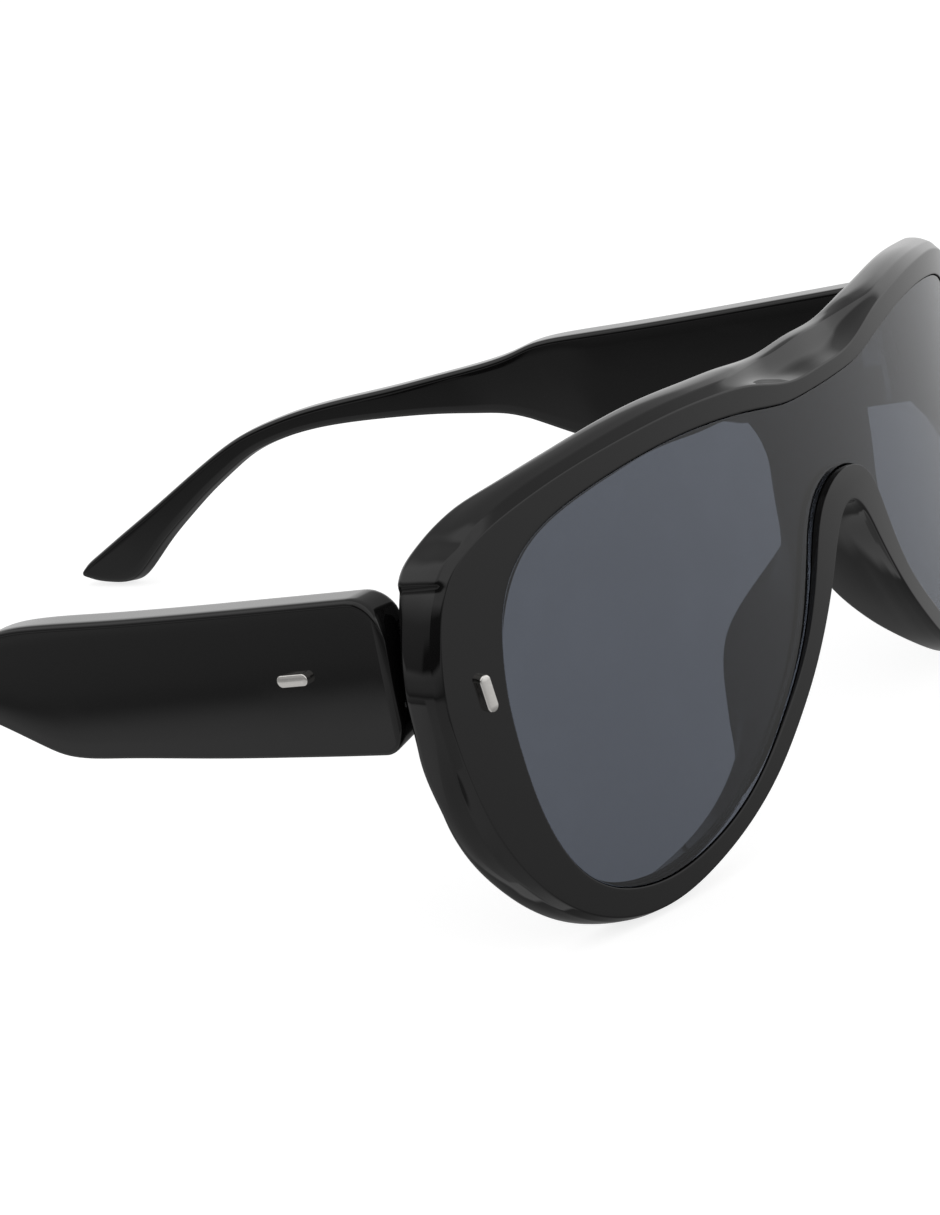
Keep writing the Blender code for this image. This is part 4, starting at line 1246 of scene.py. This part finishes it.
class FittingTrees:
    """Geometry Nodes trees for the fittings that repeat."""

    ROW: dict[str, str] = {"Count": "Int", "First": "Float", "Pitch": "Float", "Radius": "Float",
                           "Material": "Material"}
    KNUCKLE_FACETS: dict[str, int] = {"Vertices": 48, "Side Segments": 12, "Fill Segments": 3}
    HEAD_FACETS: dict[str, int] = {"Segments": 32, "Rings": 16}

    def __init__(self) -> None:
        """Build both trees once."""
        self.knuckles = self.knuckle_tree()
        self.heads = self.head_tree()

    @staticmethod
    def close_row(wires: Wiring, given: dict[str, Socket], result: Socket, along: str, shape: Socket) -> None:
        """Repeat a shape along one axis, make it real and dress it.

        Args:
            wires: the tree's wiring.
            given: its inputs.
            result: the socket that takes the row.
            along: axis of the row, X or Z.
            shape: what to repeat.
        """
        first, pitch = (wires.first("ShaderNodeCombineXYZ", {along: given[label]})
                        for label in ("First", "Pitch"))
        line = wires.first("GeometryNodeMeshLine", {"Count": given["Count"], "Start Location": first,
                                                    "Offset": pitch})
        spread = wires.first("GeometryNodeInstanceOnPoints", {"Points": line, "Instance": shape})
        real = wires.first("GeometryNodeRealizeInstances", {"Geometry": spread})
        wires.feed(wires.first("GeometryNodeSetMaterial", {"Geometry": real, "Material": given["Material"]}),
                   result)

    def knuckle_tree(self) -> Tree:
        """Build the tree for a stack of knuckles with turned edges.

        Returns:
            The tree.
        """
        wires, given, result = Wiring.group("Geometry", "knuckle_stack", self.ROW | {
            "Height": "Float", "Edge": "Float"}, "Geometry", "Geometry")
        barrel = wires.first("GeometryNodeMeshCylinder", self.KNUCKLE_FACETS | {
            "Radius": given["Radius"], "Depth": given["Height"]})
        place = wires.first("GeometryNodeInputPosition")
        split = wires.node("ShaderNodeSeparateXYZ", {"Vector": place}).outputs
        start = wires.math("SUBTRACT", wires.math("MULTIPLY", given["Height"], 0.5), given["Edge"])
        past = wires.math("MAXIMUM", wires.math("SUBTRACT", wires.math("ABSOLUTE", split["Z"]), start), 0.0)
        scale = wires.math("SUBTRACT", 1.0, wires.math("DIVIDE", past, given["Radius"]))
        sides = {axis: wires.math("MULTIPLY", split[axis], scale) for axis in "XY"}
        joined = wires.first("ShaderNodeCombineXYZ", sides | {"Z": split["Z"]})
        moved = wires.first("GeometryNodeSetPosition", {"Geometry": barrel, "Position": joined})
        self.close_row(wires, given, result, "Z", moved)
        return wires.tree

    def head_tree(self) -> Tree:
        """Build the tree for a row of peened rivet heads.

        Returns:
            The tree.
        """
        wires, given, result = Wiring.group("Geometry", "peened_heads", self.ROW | {"Flatness": "Float"},
                                            "Geometry", "Geometry")
        dome = wires.first("GeometryNodeMeshUVSphere", self.HEAD_FACETS | {"Radius": given["Radius"]})
        scale = wires.first("ShaderNodeCombineXYZ", {"X": 1.0, "Y": 1.0, "Z": given["Flatness"]})
        pressed = wires.first("GeometryNodeTransform", {"Geometry": dome, "Scale": scale})
        self.close_row(wires, given, result, "X", pressed)
        return wires.tree

    @staticmethod
    def made(tree: Tree, values: dict[str, object]) -> Mesh:
        """Run a tree and keep its result as a plain mesh.

        Args:
            tree: the tree to run.
            values: its inputs by name.

        Returns:
            The mesh.
        """
        holder = shown(tree.name, bpy.data.meshes.new(tree.name))
        modifier = holder.modifiers.new(tree.name, "NODES")
        modifier.node_group = tree
        for item in tree.interface.items_tree:
            if item.in_out == "INPUT" and item.name in values:
                modifier[item.identifier] = values[item.name]
        data = evaluated_mesh(holder)
        bpy.data.objects.remove(holder)
        return data


@dataclass
class RivetPlaque:
    """A pill-shaped metal plaque with two pins, peened over behind the hinge leaf."""

    hinge: HingeLine
    trees: FittingTrees
    finish: Material
    length: float = 0.0043
    width: float = 0.0014
    height: float = 0.0008
    edge: float = 0.00016
    edge_steps: int = 6
    crown: float = 0.00004
    crown_shares: tuple[float, ...] = (0.75, 0.5, 0.25, 0.03)
    seat_depth: float = 0.0001
    pin_radius: float = 0.00036
    pin_spacing: float = 0.0024
    head_radius: float = 0.00058
    head_flatness: float = 0.35
    end_steps: int = 20
    front_inset: float = 0.0046
    front_z: float = -0.0050
    front_lean: float = 8.0
    temple_y: float = 0.0119
    temple_z: float = 0.0012

    def pill(self, inset: float, level: float) -> Rows:
        """Draw the plaque's outline at one level.

        Args:
            inset: how far inside the full outline.
            level: height above the surface.

        Returns:
            Points round the pill.
        """
        radius, half = self.width / 2.0 - inset, (self.length - self.width) / 2.0
        turn = np.linspace(-0.5 * math.pi, 0.5 * math.pi, self.end_steps + 1)
        x, y = half + radius * np.cos(turn), radius * np.sin(turn)
        end = np.stack([x, y, np.full(len(turn), level)], axis=1)
        return np.concatenate([end, end * np.array([-1.0, -1.0, 1.0])])

    def body(self) -> Mesh:
        """Build the pill with its polished edge and faint crown.

        Returns:
            The mesh, standing on z = 0.
        """
        levels = [(0.0, -self.seat_depth)]
        levels += [(inset, self.height - fall) for inset, fall in quarter_round(self.edge, self.edge_steps)]
        levels += [(self.width / 2.0 * (1.0 - s) + self.edge * s, self.height + self.crown * (1.0 - s ** 2))
                   for s in self.crown_shares]
        patches = Patchwork()
        patches.tube(np.stack([self.pill(inset, level) for inset, level in levels]), 2, 1)
        return patches.mesh("plaque_body")

    def pins(self, depth: float) -> list[tuple[Mesh, Matrix]]:
        """Build the two pins and their peened heads.

        Args:
            depth: how far the pins reach behind the surface.

        Returns:
            Meshes with their places.
        """
        half, middle = self.pin_spacing / 2.0, (self.height / 2.0 - depth) / 2.0
        pin = self.trees.made(self.trees.knuckles, {
            "Count": 1, "First": 0.0, "Pitch": 0.0, "Radius": self.pin_radius,
            "Height": depth + self.height / 2.0, "Edge": 0.0, "Material": self.finish})
        heads = self.trees.made(self.trees.heads, {
            "Count": 2, "First": -half, "Pitch": self.pin_spacing, "Radius": self.head_radius,
            "Flatness": self.head_flatness, "Material": self.finish})
        return [(mesh, Matrix.Translation((x, 0.0, z)))
                for mesh, x, z in ((pin, -half, middle), (pin, half, middle), (heads, 0.0, -depth))]

    @staticmethod
    def seat(place: Vector, outward: Vector, along: Vector) -> Matrix:
        """Find the matrix of a place on a surface.

        Args:
            place: the place.
            outward: unit direction off the surface, which becomes z.
            along: direction of the plaque, which becomes x.

        Returns:
            The matrix.
        """
        x_axis = (along - along.dot(outward) * outward).normalized()
        turn = Matrix((x_axis, outward.cross(x_axis), outward)).transposed().to_4x4()
        return Matrix.Translation(place) @ turn

    def build(self, where: str, side: Side, body: Body, seat: Matrix, depth: float) -> None:
        """Build a plaque in its seat and dress it.

        Args:
            where: front or temple.
            side: side of the head.
            body: the body that it rides on.
            seat: its place in the world.
            depth: how far its pins reach.
        """
        name, parts = f"{where}_plaque_{side.word}", [(self.body(), Matrix()), *self.pins(depth)]
        data = merged_mesh(name, [(mesh, seat @ matrix) for mesh, matrix in parts])
        place_piece(name, data, self.finish, body, f"{where}_rivet_plaque_{side.word}")

    def build_front(self, side: Side) -> None:
        """Build the plaque on one end of the front.

        Args:
            side: which end.
        """
        shape, way = self.hinge.shape, side.value
        x = shape.half_width - self.front_inset
        slant, lean = math.asin(x / shape.wrap_radius), math.radians(self.front_lean)
        outward = Vector((way * math.sin(slant), -math.cos(slant), 0.0))
        along = Vector((way * math.sin(lean), 0.0, math.cos(lean)))
        place = Vector((way * x, float(shape.front_y(x)), self.front_z))
        leaf_back = self.hinge.place.y - self.hinge.knuckle_radius + self.hinge.leaf_thickness
        seat = self.hinge.stand.matrix @ self.seat(place, outward, along)
        self.build("front", side, Body.FRONT, seat, (leaf_back - place.y) / math.cos(slant))

    def build_temple(self, side: Side) -> None:
        """Build the plaque on one temple.

        Args:
            side: which temple.
        """
        place = Vector((side.value * self.hinge.outer_reach, self.temple_y, self.temple_z))
        depth = self.hinge.temple_thickness + self.hinge.seat_gap + self.hinge.leaf_thickness
        seat = self.seat(place, Vector((side.value, 0.0, 0.0)), Vector((0.0, 1.0, 0.0)))
        self.build("temple", side, Body.temple(side), self.hinge.temple(side) @ seat, depth)


@dataclass
class Hinge:
    """A five-knuckle hinge: one leaf on the front, one on the temple, and a slotted screw."""

    line: HingeLine
    trees: FittingTrees
    finish: Material
    knuckles: int = 5
    stack: float = 0.0080
    gap: float = 0.00022
    centre: float = -0.0013
    edge: float = 0.00018
    knuckle_edge: float = 0.000108
    front_reach: float = 0.0050
    front_levels: Pair = (-0.0072, 0.0036)
    temple_span: Pair = (0.0019, 0.0155)
    temple_levels: Pair = (-0.0016, 0.0040)
    screw_radius: float = 0.00052
    head_radius: float = 0.00115
    head_height: float = 0.0007
    head_steps: int = 5
    turn_steps: int = 48
    slot_reach: float = 0.0017
    slot_width: float = 0.0003
    slot_depth: float = 0.0003

    @property
    def knuckle_height(self) -> float:
        """Height of one knuckle."""
        return (self.stack - self.gap * (self.knuckles - 1)) / self.knuckles

    def box(self, side: Side, x: Pair, y: Pair, z: Pair) -> Mesh:
        """Make a soft box from its spans, with x mirrored to a side of the head."""
        return soft_box(((side.value * x[0], side.value * x[1]), y, z), self.edge)

    def leaf(self, name: str, side: Side, first: int, lug: tuple[Pair, Pair],
             plate: tuple[Mesh, Matrix], pivot: Matrix) -> Mesh:
        """Join a leaf's plate with its knuckles and the lugs that carry them.

        Args:
            name: name of the mesh.
            side: side of the head.
            first: its lowest knuckle, counted from 0; it has every second one from there.
            lug: spans of a lug along x and y.
            plate: the plate, with the matrix that puts it in place.
            pivot: the matrix of the knuckles and lugs.

        Returns:
            The mesh.
        """
        height, pitch = self.knuckle_height, self.knuckle_height + self.gap
        lows = [self.centre - self.stack / 2.0 + pitch * index for index in range(first, self.knuckles, 2)]
        barrels = self.trees.made(self.trees.knuckles, {
            "Count": len(lows), "First": lows[0] + height / 2.0, "Pitch": 2.0 * pitch,
            "Radius": self.line.knuckle_radius, "Height": height, "Edge": self.knuckle_edge,
            "Material": self.finish})
        lugs = [(self.box(side, *lug, (low, low + height)), pivot) for low in lows]
        return merged_mesh(name, [plate, (barrels, pivot), *lugs])

    def build_front_leaf(self, side: Side) -> None:
        """Build the leaf on the back of the front, with its three knuckles.

        Args:
            side: which end.
        """
        radius, thickness, seat = self.line.knuckle_radius, self.line.leaf_thickness, self.line.seat(side)
        inner, deep = -radius - self.line.seat_gap, (-radius, thickness - radius)
        plate = self.box(side, (inner - self.front_reach, inner), deep, self.front_levels)
        name = f"hinge_leaf_of_front_{side.word}"
        data = self.leaf(name, side, 0, ((inner - thickness, 0.0), deep), (plate, seat), seat)
        place_piece(name, data, self.finish, Body.FRONT, f"front_hinge_leaf_{side.word}")

    def build_temple_leaf(self, side: Side) -> None:
        """Build the leaf on the temple's inner face, with its two knuckles.

        Args:
            side: which temple.
        """
        radius, thickness, start = self.line.knuckle_radius, self.line.leaf_thickness, self.temple_span[0]
        across = (radius - thickness, radius)
        plate = self.box(side, across, self.temple_span, self.temple_levels)
        name = f"hinge_leaf_of_temple_{side.word}"
        data = self.leaf(name, side, 1, (across, (0.0, start + thickness)), (plate, self.line.temple(side)),
                         self.line.pivot(side))
        place_piece(name, data, self.finish, Body.temple(side), f"temple_hinge_leaf_{side.word}")

    def build_screw(self, side: Side) -> None:
        """Build the hinge screw with its slotted head.

        Args:
            side: which hinge.
        """
        bottom, top = self.centre - self.stack / 2.0, self.centre + self.stack / 2.0 + self.line.seat_gap
        head_top = top + self.head_height
        turn = np.linspace(0.0, 2.0 * math.pi, self.turn_steps, endpoint=False)
        profile = [(self.screw_radius, bottom), (self.screw_radius, top), (self.head_radius, top)]
        profile += [(self.head_radius - inset, head_top - fall)
                    for inset, fall in quarter_round(self.edge, self.head_steps)]
        rings = [np.stack([r * np.cos(turn), r * np.sin(turn), np.full(len(turn), z)], axis=1)
                 for r, z in profile]
        patches = Patchwork()
        patches.tube(np.stack(rings), 1, 2)
        half = self.slot_width / 2.0
        slot = soft_box(((-self.slot_reach, self.slot_reach), (-half, half),
                         (head_top - self.slot_depth, head_top + self.head_height)), TINY)
        data = carved(patches.mesh("screw"), slot)
        data.transform(self.line.seat(side))
        place_piece(f"slotted_screw_{side.word}", data, self.finish, Body.FRONT,
                    f"hinge_screw_{side.word}")


class SharedEffects:
    """Shader node groups that several finishes use."""

    RIPPLE_NOISE: dict[str, float] = {"Detail": 2.0, "Roughness": 0.45}
    SMUDGE_NOISE: dict[str, float] = {"Detail": 4.0, "Roughness": 0.6, "Distortion": 0.8}
    SMUDGE_SPAN: Pair = (0.48, 0.72)
    HAIR_STRETCH: dict[str, Triple] = {"Rotation": (0.3, 0.7, 0.5), "Scale": (1.0, 14.0, 14.0)}
    HAIR_NOISE: dict[str, float] = {"Scale": 260.0, "Detail": 1.0}
    HAIR_SPAN: Pair = (0.66, 0.74)

    def __init__(self) -> None:
        """Build each group once."""
        self.ripples = self.ripple_group()
        self.marks = self.mark_group()

    @staticmethod
    def start(name: str, inputs: tuple[str, ...], output: str) -> tuple[Wiring, dict[str, Socket], Socket]:
        """Start a group with a Vector input, some numbers and one number as its result."""
        kinds = {"Vector": "Vector"} | dict.fromkeys(inputs, "Float")
        return Wiring.group("Shader", name, kinds, output, "Float")

    def ripple_group(self) -> Tree:
        """Build the faint waves that moulding and buffing leave on a glossy face.

        Returns:
            The group.
        """
        wires, given, result = self.start("buffed_ripples", ("Scale", "Height"), "Height")
        noise = wires.first("ShaderNodeTexNoise", self.RIPPLE_NOISE | {
            "Vector": given["Vector"], "Scale": given["Scale"]}, noise_dimensions="3D")
        wires.feed(wires.math("MULTIPLY", wires.math("SUBTRACT", noise, 0.5), given["Height"]), result)
        return wires.tree

    def mark_group(self) -> Tree:
        """Build the soft smudges and hairlines that handling leaves.

        Returns:
            The group.
        """
        wires, given, result = self.start("handling_marks", ("Scale", "Smudges", "Hairlines"), "Mask")
        smear = wires.first("ShaderNodeTexNoise", self.SMUDGE_NOISE | {
            "Vector": given["Vector"], "Scale": given["Scale"]}, noise_dimensions="3D")
        smudge = wires.math("MULTIPLY", wires.ramp(smear, self.SMUDGE_SPAN), given["Smudges"])
        stretched = wires.first("ShaderNodeMapping", self.HAIR_STRETCH | {"Vector": given["Vector"]})
        lines = wires.first("ShaderNodeTexNoise", self.HAIR_NOISE | {"Vector": stretched},
                            noise_dimensions="3D")
        hair = wires.math("MULTIPLY", wires.ramp(lines, self.HAIR_SPAN), given["Hairlines"])
        wires.feed(wires.math("MINIMUM", wires.math("ADD", smudge, hair), 1.0), result)
        return wires.tree


@dataclass(frozen=True)
class Finish:
    """A finish: its shader's plain values, and how much ripple and handling shows on it."""

    name: str
    colour: Triple
    roughness: float
    marked_roughness: float
    metallic: float = 0.0
    transmission: float = 0.0
    ior: float = 1.5
    specular: float = 0.5
    ripple_scale: float = 120.0
    ripple_height: float = 0.0
    mark_scale: float = 60.0
    smudges: float = 0.5
    hairlines: float = 0.3
    marked_gain: float = 1.25
    marked_lift: float = 0.0006

    def material(self, effects: SharedEffects) -> Material:
        """Build the material.

        Args:
            effects: the shared node groups.

        Returns:
            The material.
        """
        made = bpy.data.materials.new(self.name)
        made.use_nodes = True
        wires, sockets = Wiring(made.node_tree), made.node_tree.nodes["Principled BSDF"].inputs
        for label, value in (("Metallic", self.metallic), ("Transmission Weight", self.transmission),
                             ("IOR", self.ior), ("Specular IOR Level", self.specular)):
            sockets[label].default_value = value
        place = wires.node("ShaderNodeTexCoord").outputs["Object"]
        marks = wires.first("ShaderNodeGroup", node_tree=effects.marks, inputs={
            "Vector": place, "Scale": self.mark_scale, "Smudges": self.smudges, "Hairlines": self.hairlines})
        lighter = (min(c * self.marked_gain + self.marked_lift, 1.0) for c in self.colour)
        wires.feed(wires.blend(marks, self.roughness, self.marked_roughness), sockets["Roughness"])
        wires.feed(wires.blend(marks, (*self.colour, 1.0), (*lighter, 1.0), "RGBA"), sockets["Base Color"])
        if self.ripple_height > 0.0:
            ripples = wires.first("ShaderNodeGroup", node_tree=effects.ripples, inputs={
                "Vector": place, "Scale": self.ripple_scale, "Height": self.ripple_height})
            bump = wires.first("ShaderNodeBump", {"Strength": 1.0, "Distance": 1.0, "Height": ripples})
            wires.feed(bump, sockets["Normal"])
        return made


POLISHED_PLASTIC = Finish("polished_black_plastic", (0.0035, 0.0033, 0.0034), 0.045, 0.12,
                          ripple_scale=140.0, ripple_height=0.0000016, smudges=0.35, hairlines=0.25)
SMOKE_TINT = Finish("smoke_tinted_lens", (0.062, 0.071, 0.090), 0.0, 0.02, transmission=1.0, ior=1.56,
                    ripple_height=0.0000004, ripple_scale=60.0, smudges=0.2, hairlines=0.1)
POLISHED_SILVER = Finish("polished_silver", (0.80, 0.78, 0.75), 0.16, 0.26, metallic=1.0,
                         ripple_scale=500.0, ripple_height=0.000001)
HINGE_STEEL = Finish("hinge_steel", (0.55, 0.56, 0.58), 0.26, 0.40, metallic=1.0,
                     ripple_scale=700.0, ripple_height=0.000002)
BONDING_FILM = Finish("bonding_film", (0.012, 0.012, 0.012), 0.55, 0.70)


@dataclass
class Studio:
    """Pale floor, soft studio light and the camera, whose place is given in the front's own frame."""

    stand: Stand
    camera_place: Triple = (-0.359287, -0.188493, 0.103941)
    heading: float = 55.7971
    dip: float = 15.4863
    roll: float = 11.2323
    lens: float = 105.43
    sensor: float = 36.0
    shift: Pair = (0.00413, -0.00141)
    clip: Pair = (0.01, 20.0)
    floor_radius: float = 3.0
    floor_level: float = -0.00005
    floor_segments: int = 96
    floor_grey: float = 0.42
    floor_glow: float = 0.80
    behind_turn: Pair = (85.0, 105.0)
    ahead: Pairs = ((-90.0, 0.22), (-30.0, 0.24), (-22.0, 0.30), (-12.0, 0.62), (-5.0, 0.80), (4.0, 1.10),
                     (25.0, 1.15), (32.0, 0.50), (55.0, 0.50), (90.0, 0.62))
    behind: Pairs = ((-90.0, 0.90), (-74.0, 0.82), (-58.0, 0.55), (-30.0, 0.50), (-19.7, 0.58), (-18.8, 0.46),
                      (-18.6, 0.17), (-18.2, 0.17), (-17.5, 0.25), (-15.2, 0.30), (-14.8, 0.40),
                      (-14.2, 0.25), (-13.6, 0.30), (-12.8, 0.12), (-9.0, 0.33), (-5.0, 0.50), (-3.0, 0.20),
                      (9.0, 0.30), (24.0, 0.95), (90.0, 1.00))
    deep_turn: Pair = (138.5, 143.0)
    deep: Pairs = ((-90.0, 0.55), (-30.0, 0.50), (-15.2, 0.45), (-14.8, 0.40), (-14.2, 0.25), (-13.6, 0.30),
                    (-12.8, 0.12), (-9.0, 0.33), (-5.0, 0.50), (-3.6, 0.24), (-2.8, 0.05), (13.0, 0.08),
                    (22.0, 0.70), (90.0, 1.00))

    def add_camera(self) -> None:
        """Stand the camera where the photograph was taken from."""
        heading, dip, roll = (math.radians(a) for a in (self.heading, self.dip, self.roll))
        level = Vector((math.cos(heading), -math.sin(heading), 0.0))
        forward = Vector((math.sin(heading) * math.cos(dip), math.cos(heading) * math.cos(dip),
                          -math.sin(dip)))
        right = level * math.cos(roll) - level.cross(forward) * math.sin(roll)
        turn = Matrix((right, right.cross(forward), -forward)).transposed().to_4x4()
        camera = shown("camera", bpy.data.cameras.new("camera"))
        camera.matrix_world = self.stand.matrix @ Matrix.Translation(self.camera_place) @ turn
        camera.data.lens, camera.data.sensor_width = self.lens, self.sensor
        camera.data.shift_x, camera.data.shift_y = self.shift
        camera.data.clip_start, camera.data.clip_end = self.clip
        bpy.context.scene.camera = camera

    def add_floor(self) -> None:
        """Lay the floor, which shows white and keeps a soft shadow."""
        work = bmesh.new()
        bmesh.ops.create_circle(work, cap_ends=True, segments=self.floor_segments, radius=self.floor_radius)
        floor = shown("floor", finished(work, "floor"))
        floor.location.z = self.floor_level
        floor.visible_glossy = False
        material = bpy.data.materials.new("pale_floor")
        material.use_nodes = True
        wires, nodes = Wiring(material.node_tree), material.node_tree.nodes
        nodes.remove(nodes["Principled BSDF"])
        matt = wires.first("ShaderNodeBsdfDiffuse", {"Color": (*[self.floor_grey] * 3, 1.0)})
        glow = wires.first("ShaderNodeEmission", {"Strength": wires.math("MULTIPLY", wires.seen(),
                                                                        self.floor_glow)})
        both = wires.node("ShaderNodeAddShader")
        for shader, socket in zip((matt, glow), both.inputs):
            wires.feed(shader, socket)
        wires.feed(both.outputs[0], nodes["Material Output"].inputs["Surface"])
        floor.data.materials.append(material)

    def add_light(self) -> None:
        """Surround the object with soft light that changes with height, and with the way round."""
        world = bpy.data.worlds.new("studio")
        world.use_nodes = True
        bpy.context.scene.world = world
        wires, background = Wiring(world.node_tree), world.node_tree.nodes["Background"].inputs
        way = wires.node("ShaderNodeTexCoord").outputs["Generated"]
        split = wires.node("ShaderNodeSeparateXYZ", {"Vector": way}).outputs
        turn = wires.math("ABSOLUTE", wires.math("ARCTAN2", split["Y"], split["X"]))
        rise = wires.math("ARCSINE", split["Z"])
        level = wires.levels(rise, self.ahead)
        for span, rows in ((self.behind_turn, self.behind), (self.deep_turn, self.deep)):
            share = wires.ramp(turn, tuple(math.radians(a) for a in span))
            level = wires.blend(share, level, wires.levels(rise, rows))
        background["Color"].default_value = (1.0, 1.0, 1.0, 1.0)
        wires.feed(wires.blend(wires.seen(), level, 1.0), background["Strength"])

    def build(self) -> None:
        """Set up the whole studio."""
        self.add_floor()
        self.add_light()
        self.add_camera()
        bpy.context.scene.view_settings.view_transform = "Standard"


def dress_core_wires(steel: Material) -> None:
    """Give the CAD nodes that stay, the wires inside the temples, their finish.

    Args:
        steel: the finish.
    """
    for side in Side:
        name = f"temple_core_wire_{side.word}"
        materials = frame["nodes"][name].data.materials
        materials.clear()
        materials.append(steel)
        logger.info("%s keeps its CAD mesh", name)


def main() -> None:
    """Build and dress every piece, then the studio."""
    logging.basicConfig(level=logging.INFO, format="%(name)s: %(message)s")
    effects, trees, shape = SharedEffects(), FittingTrees(), FrontShape()
    plastic, tint, silver, steel, film = (
        finish.material(effects)
        for finish in (POLISHED_PLASTIC, SMOKE_TINT, POLISHED_SILVER, HINGE_STEEL, BONDING_FILM))
    line = HingeLine(shape)
    FrontFrame(shape, line.stand, plastic).build()
    ShieldLens(shape, line.stand, tint).build()
    BondingBead(shape, line.stand, film).build()
    temple, plaque, hinge = Temple(line, plastic), RivetPlaque(line, trees, silver), Hinge(line, trees, steel)
    for side in Side:
        temple.build(side)
        plaque.build_front(side)
        plaque.build_temple(side)
        hinge.build_front_leaf(side)
        hinge.build_temple_leaf(side)
        hinge.build_screw(side)
    dress_core_wires(steel)
    Studio(line.stand).build()


if __name__ == "__main__":
    main()
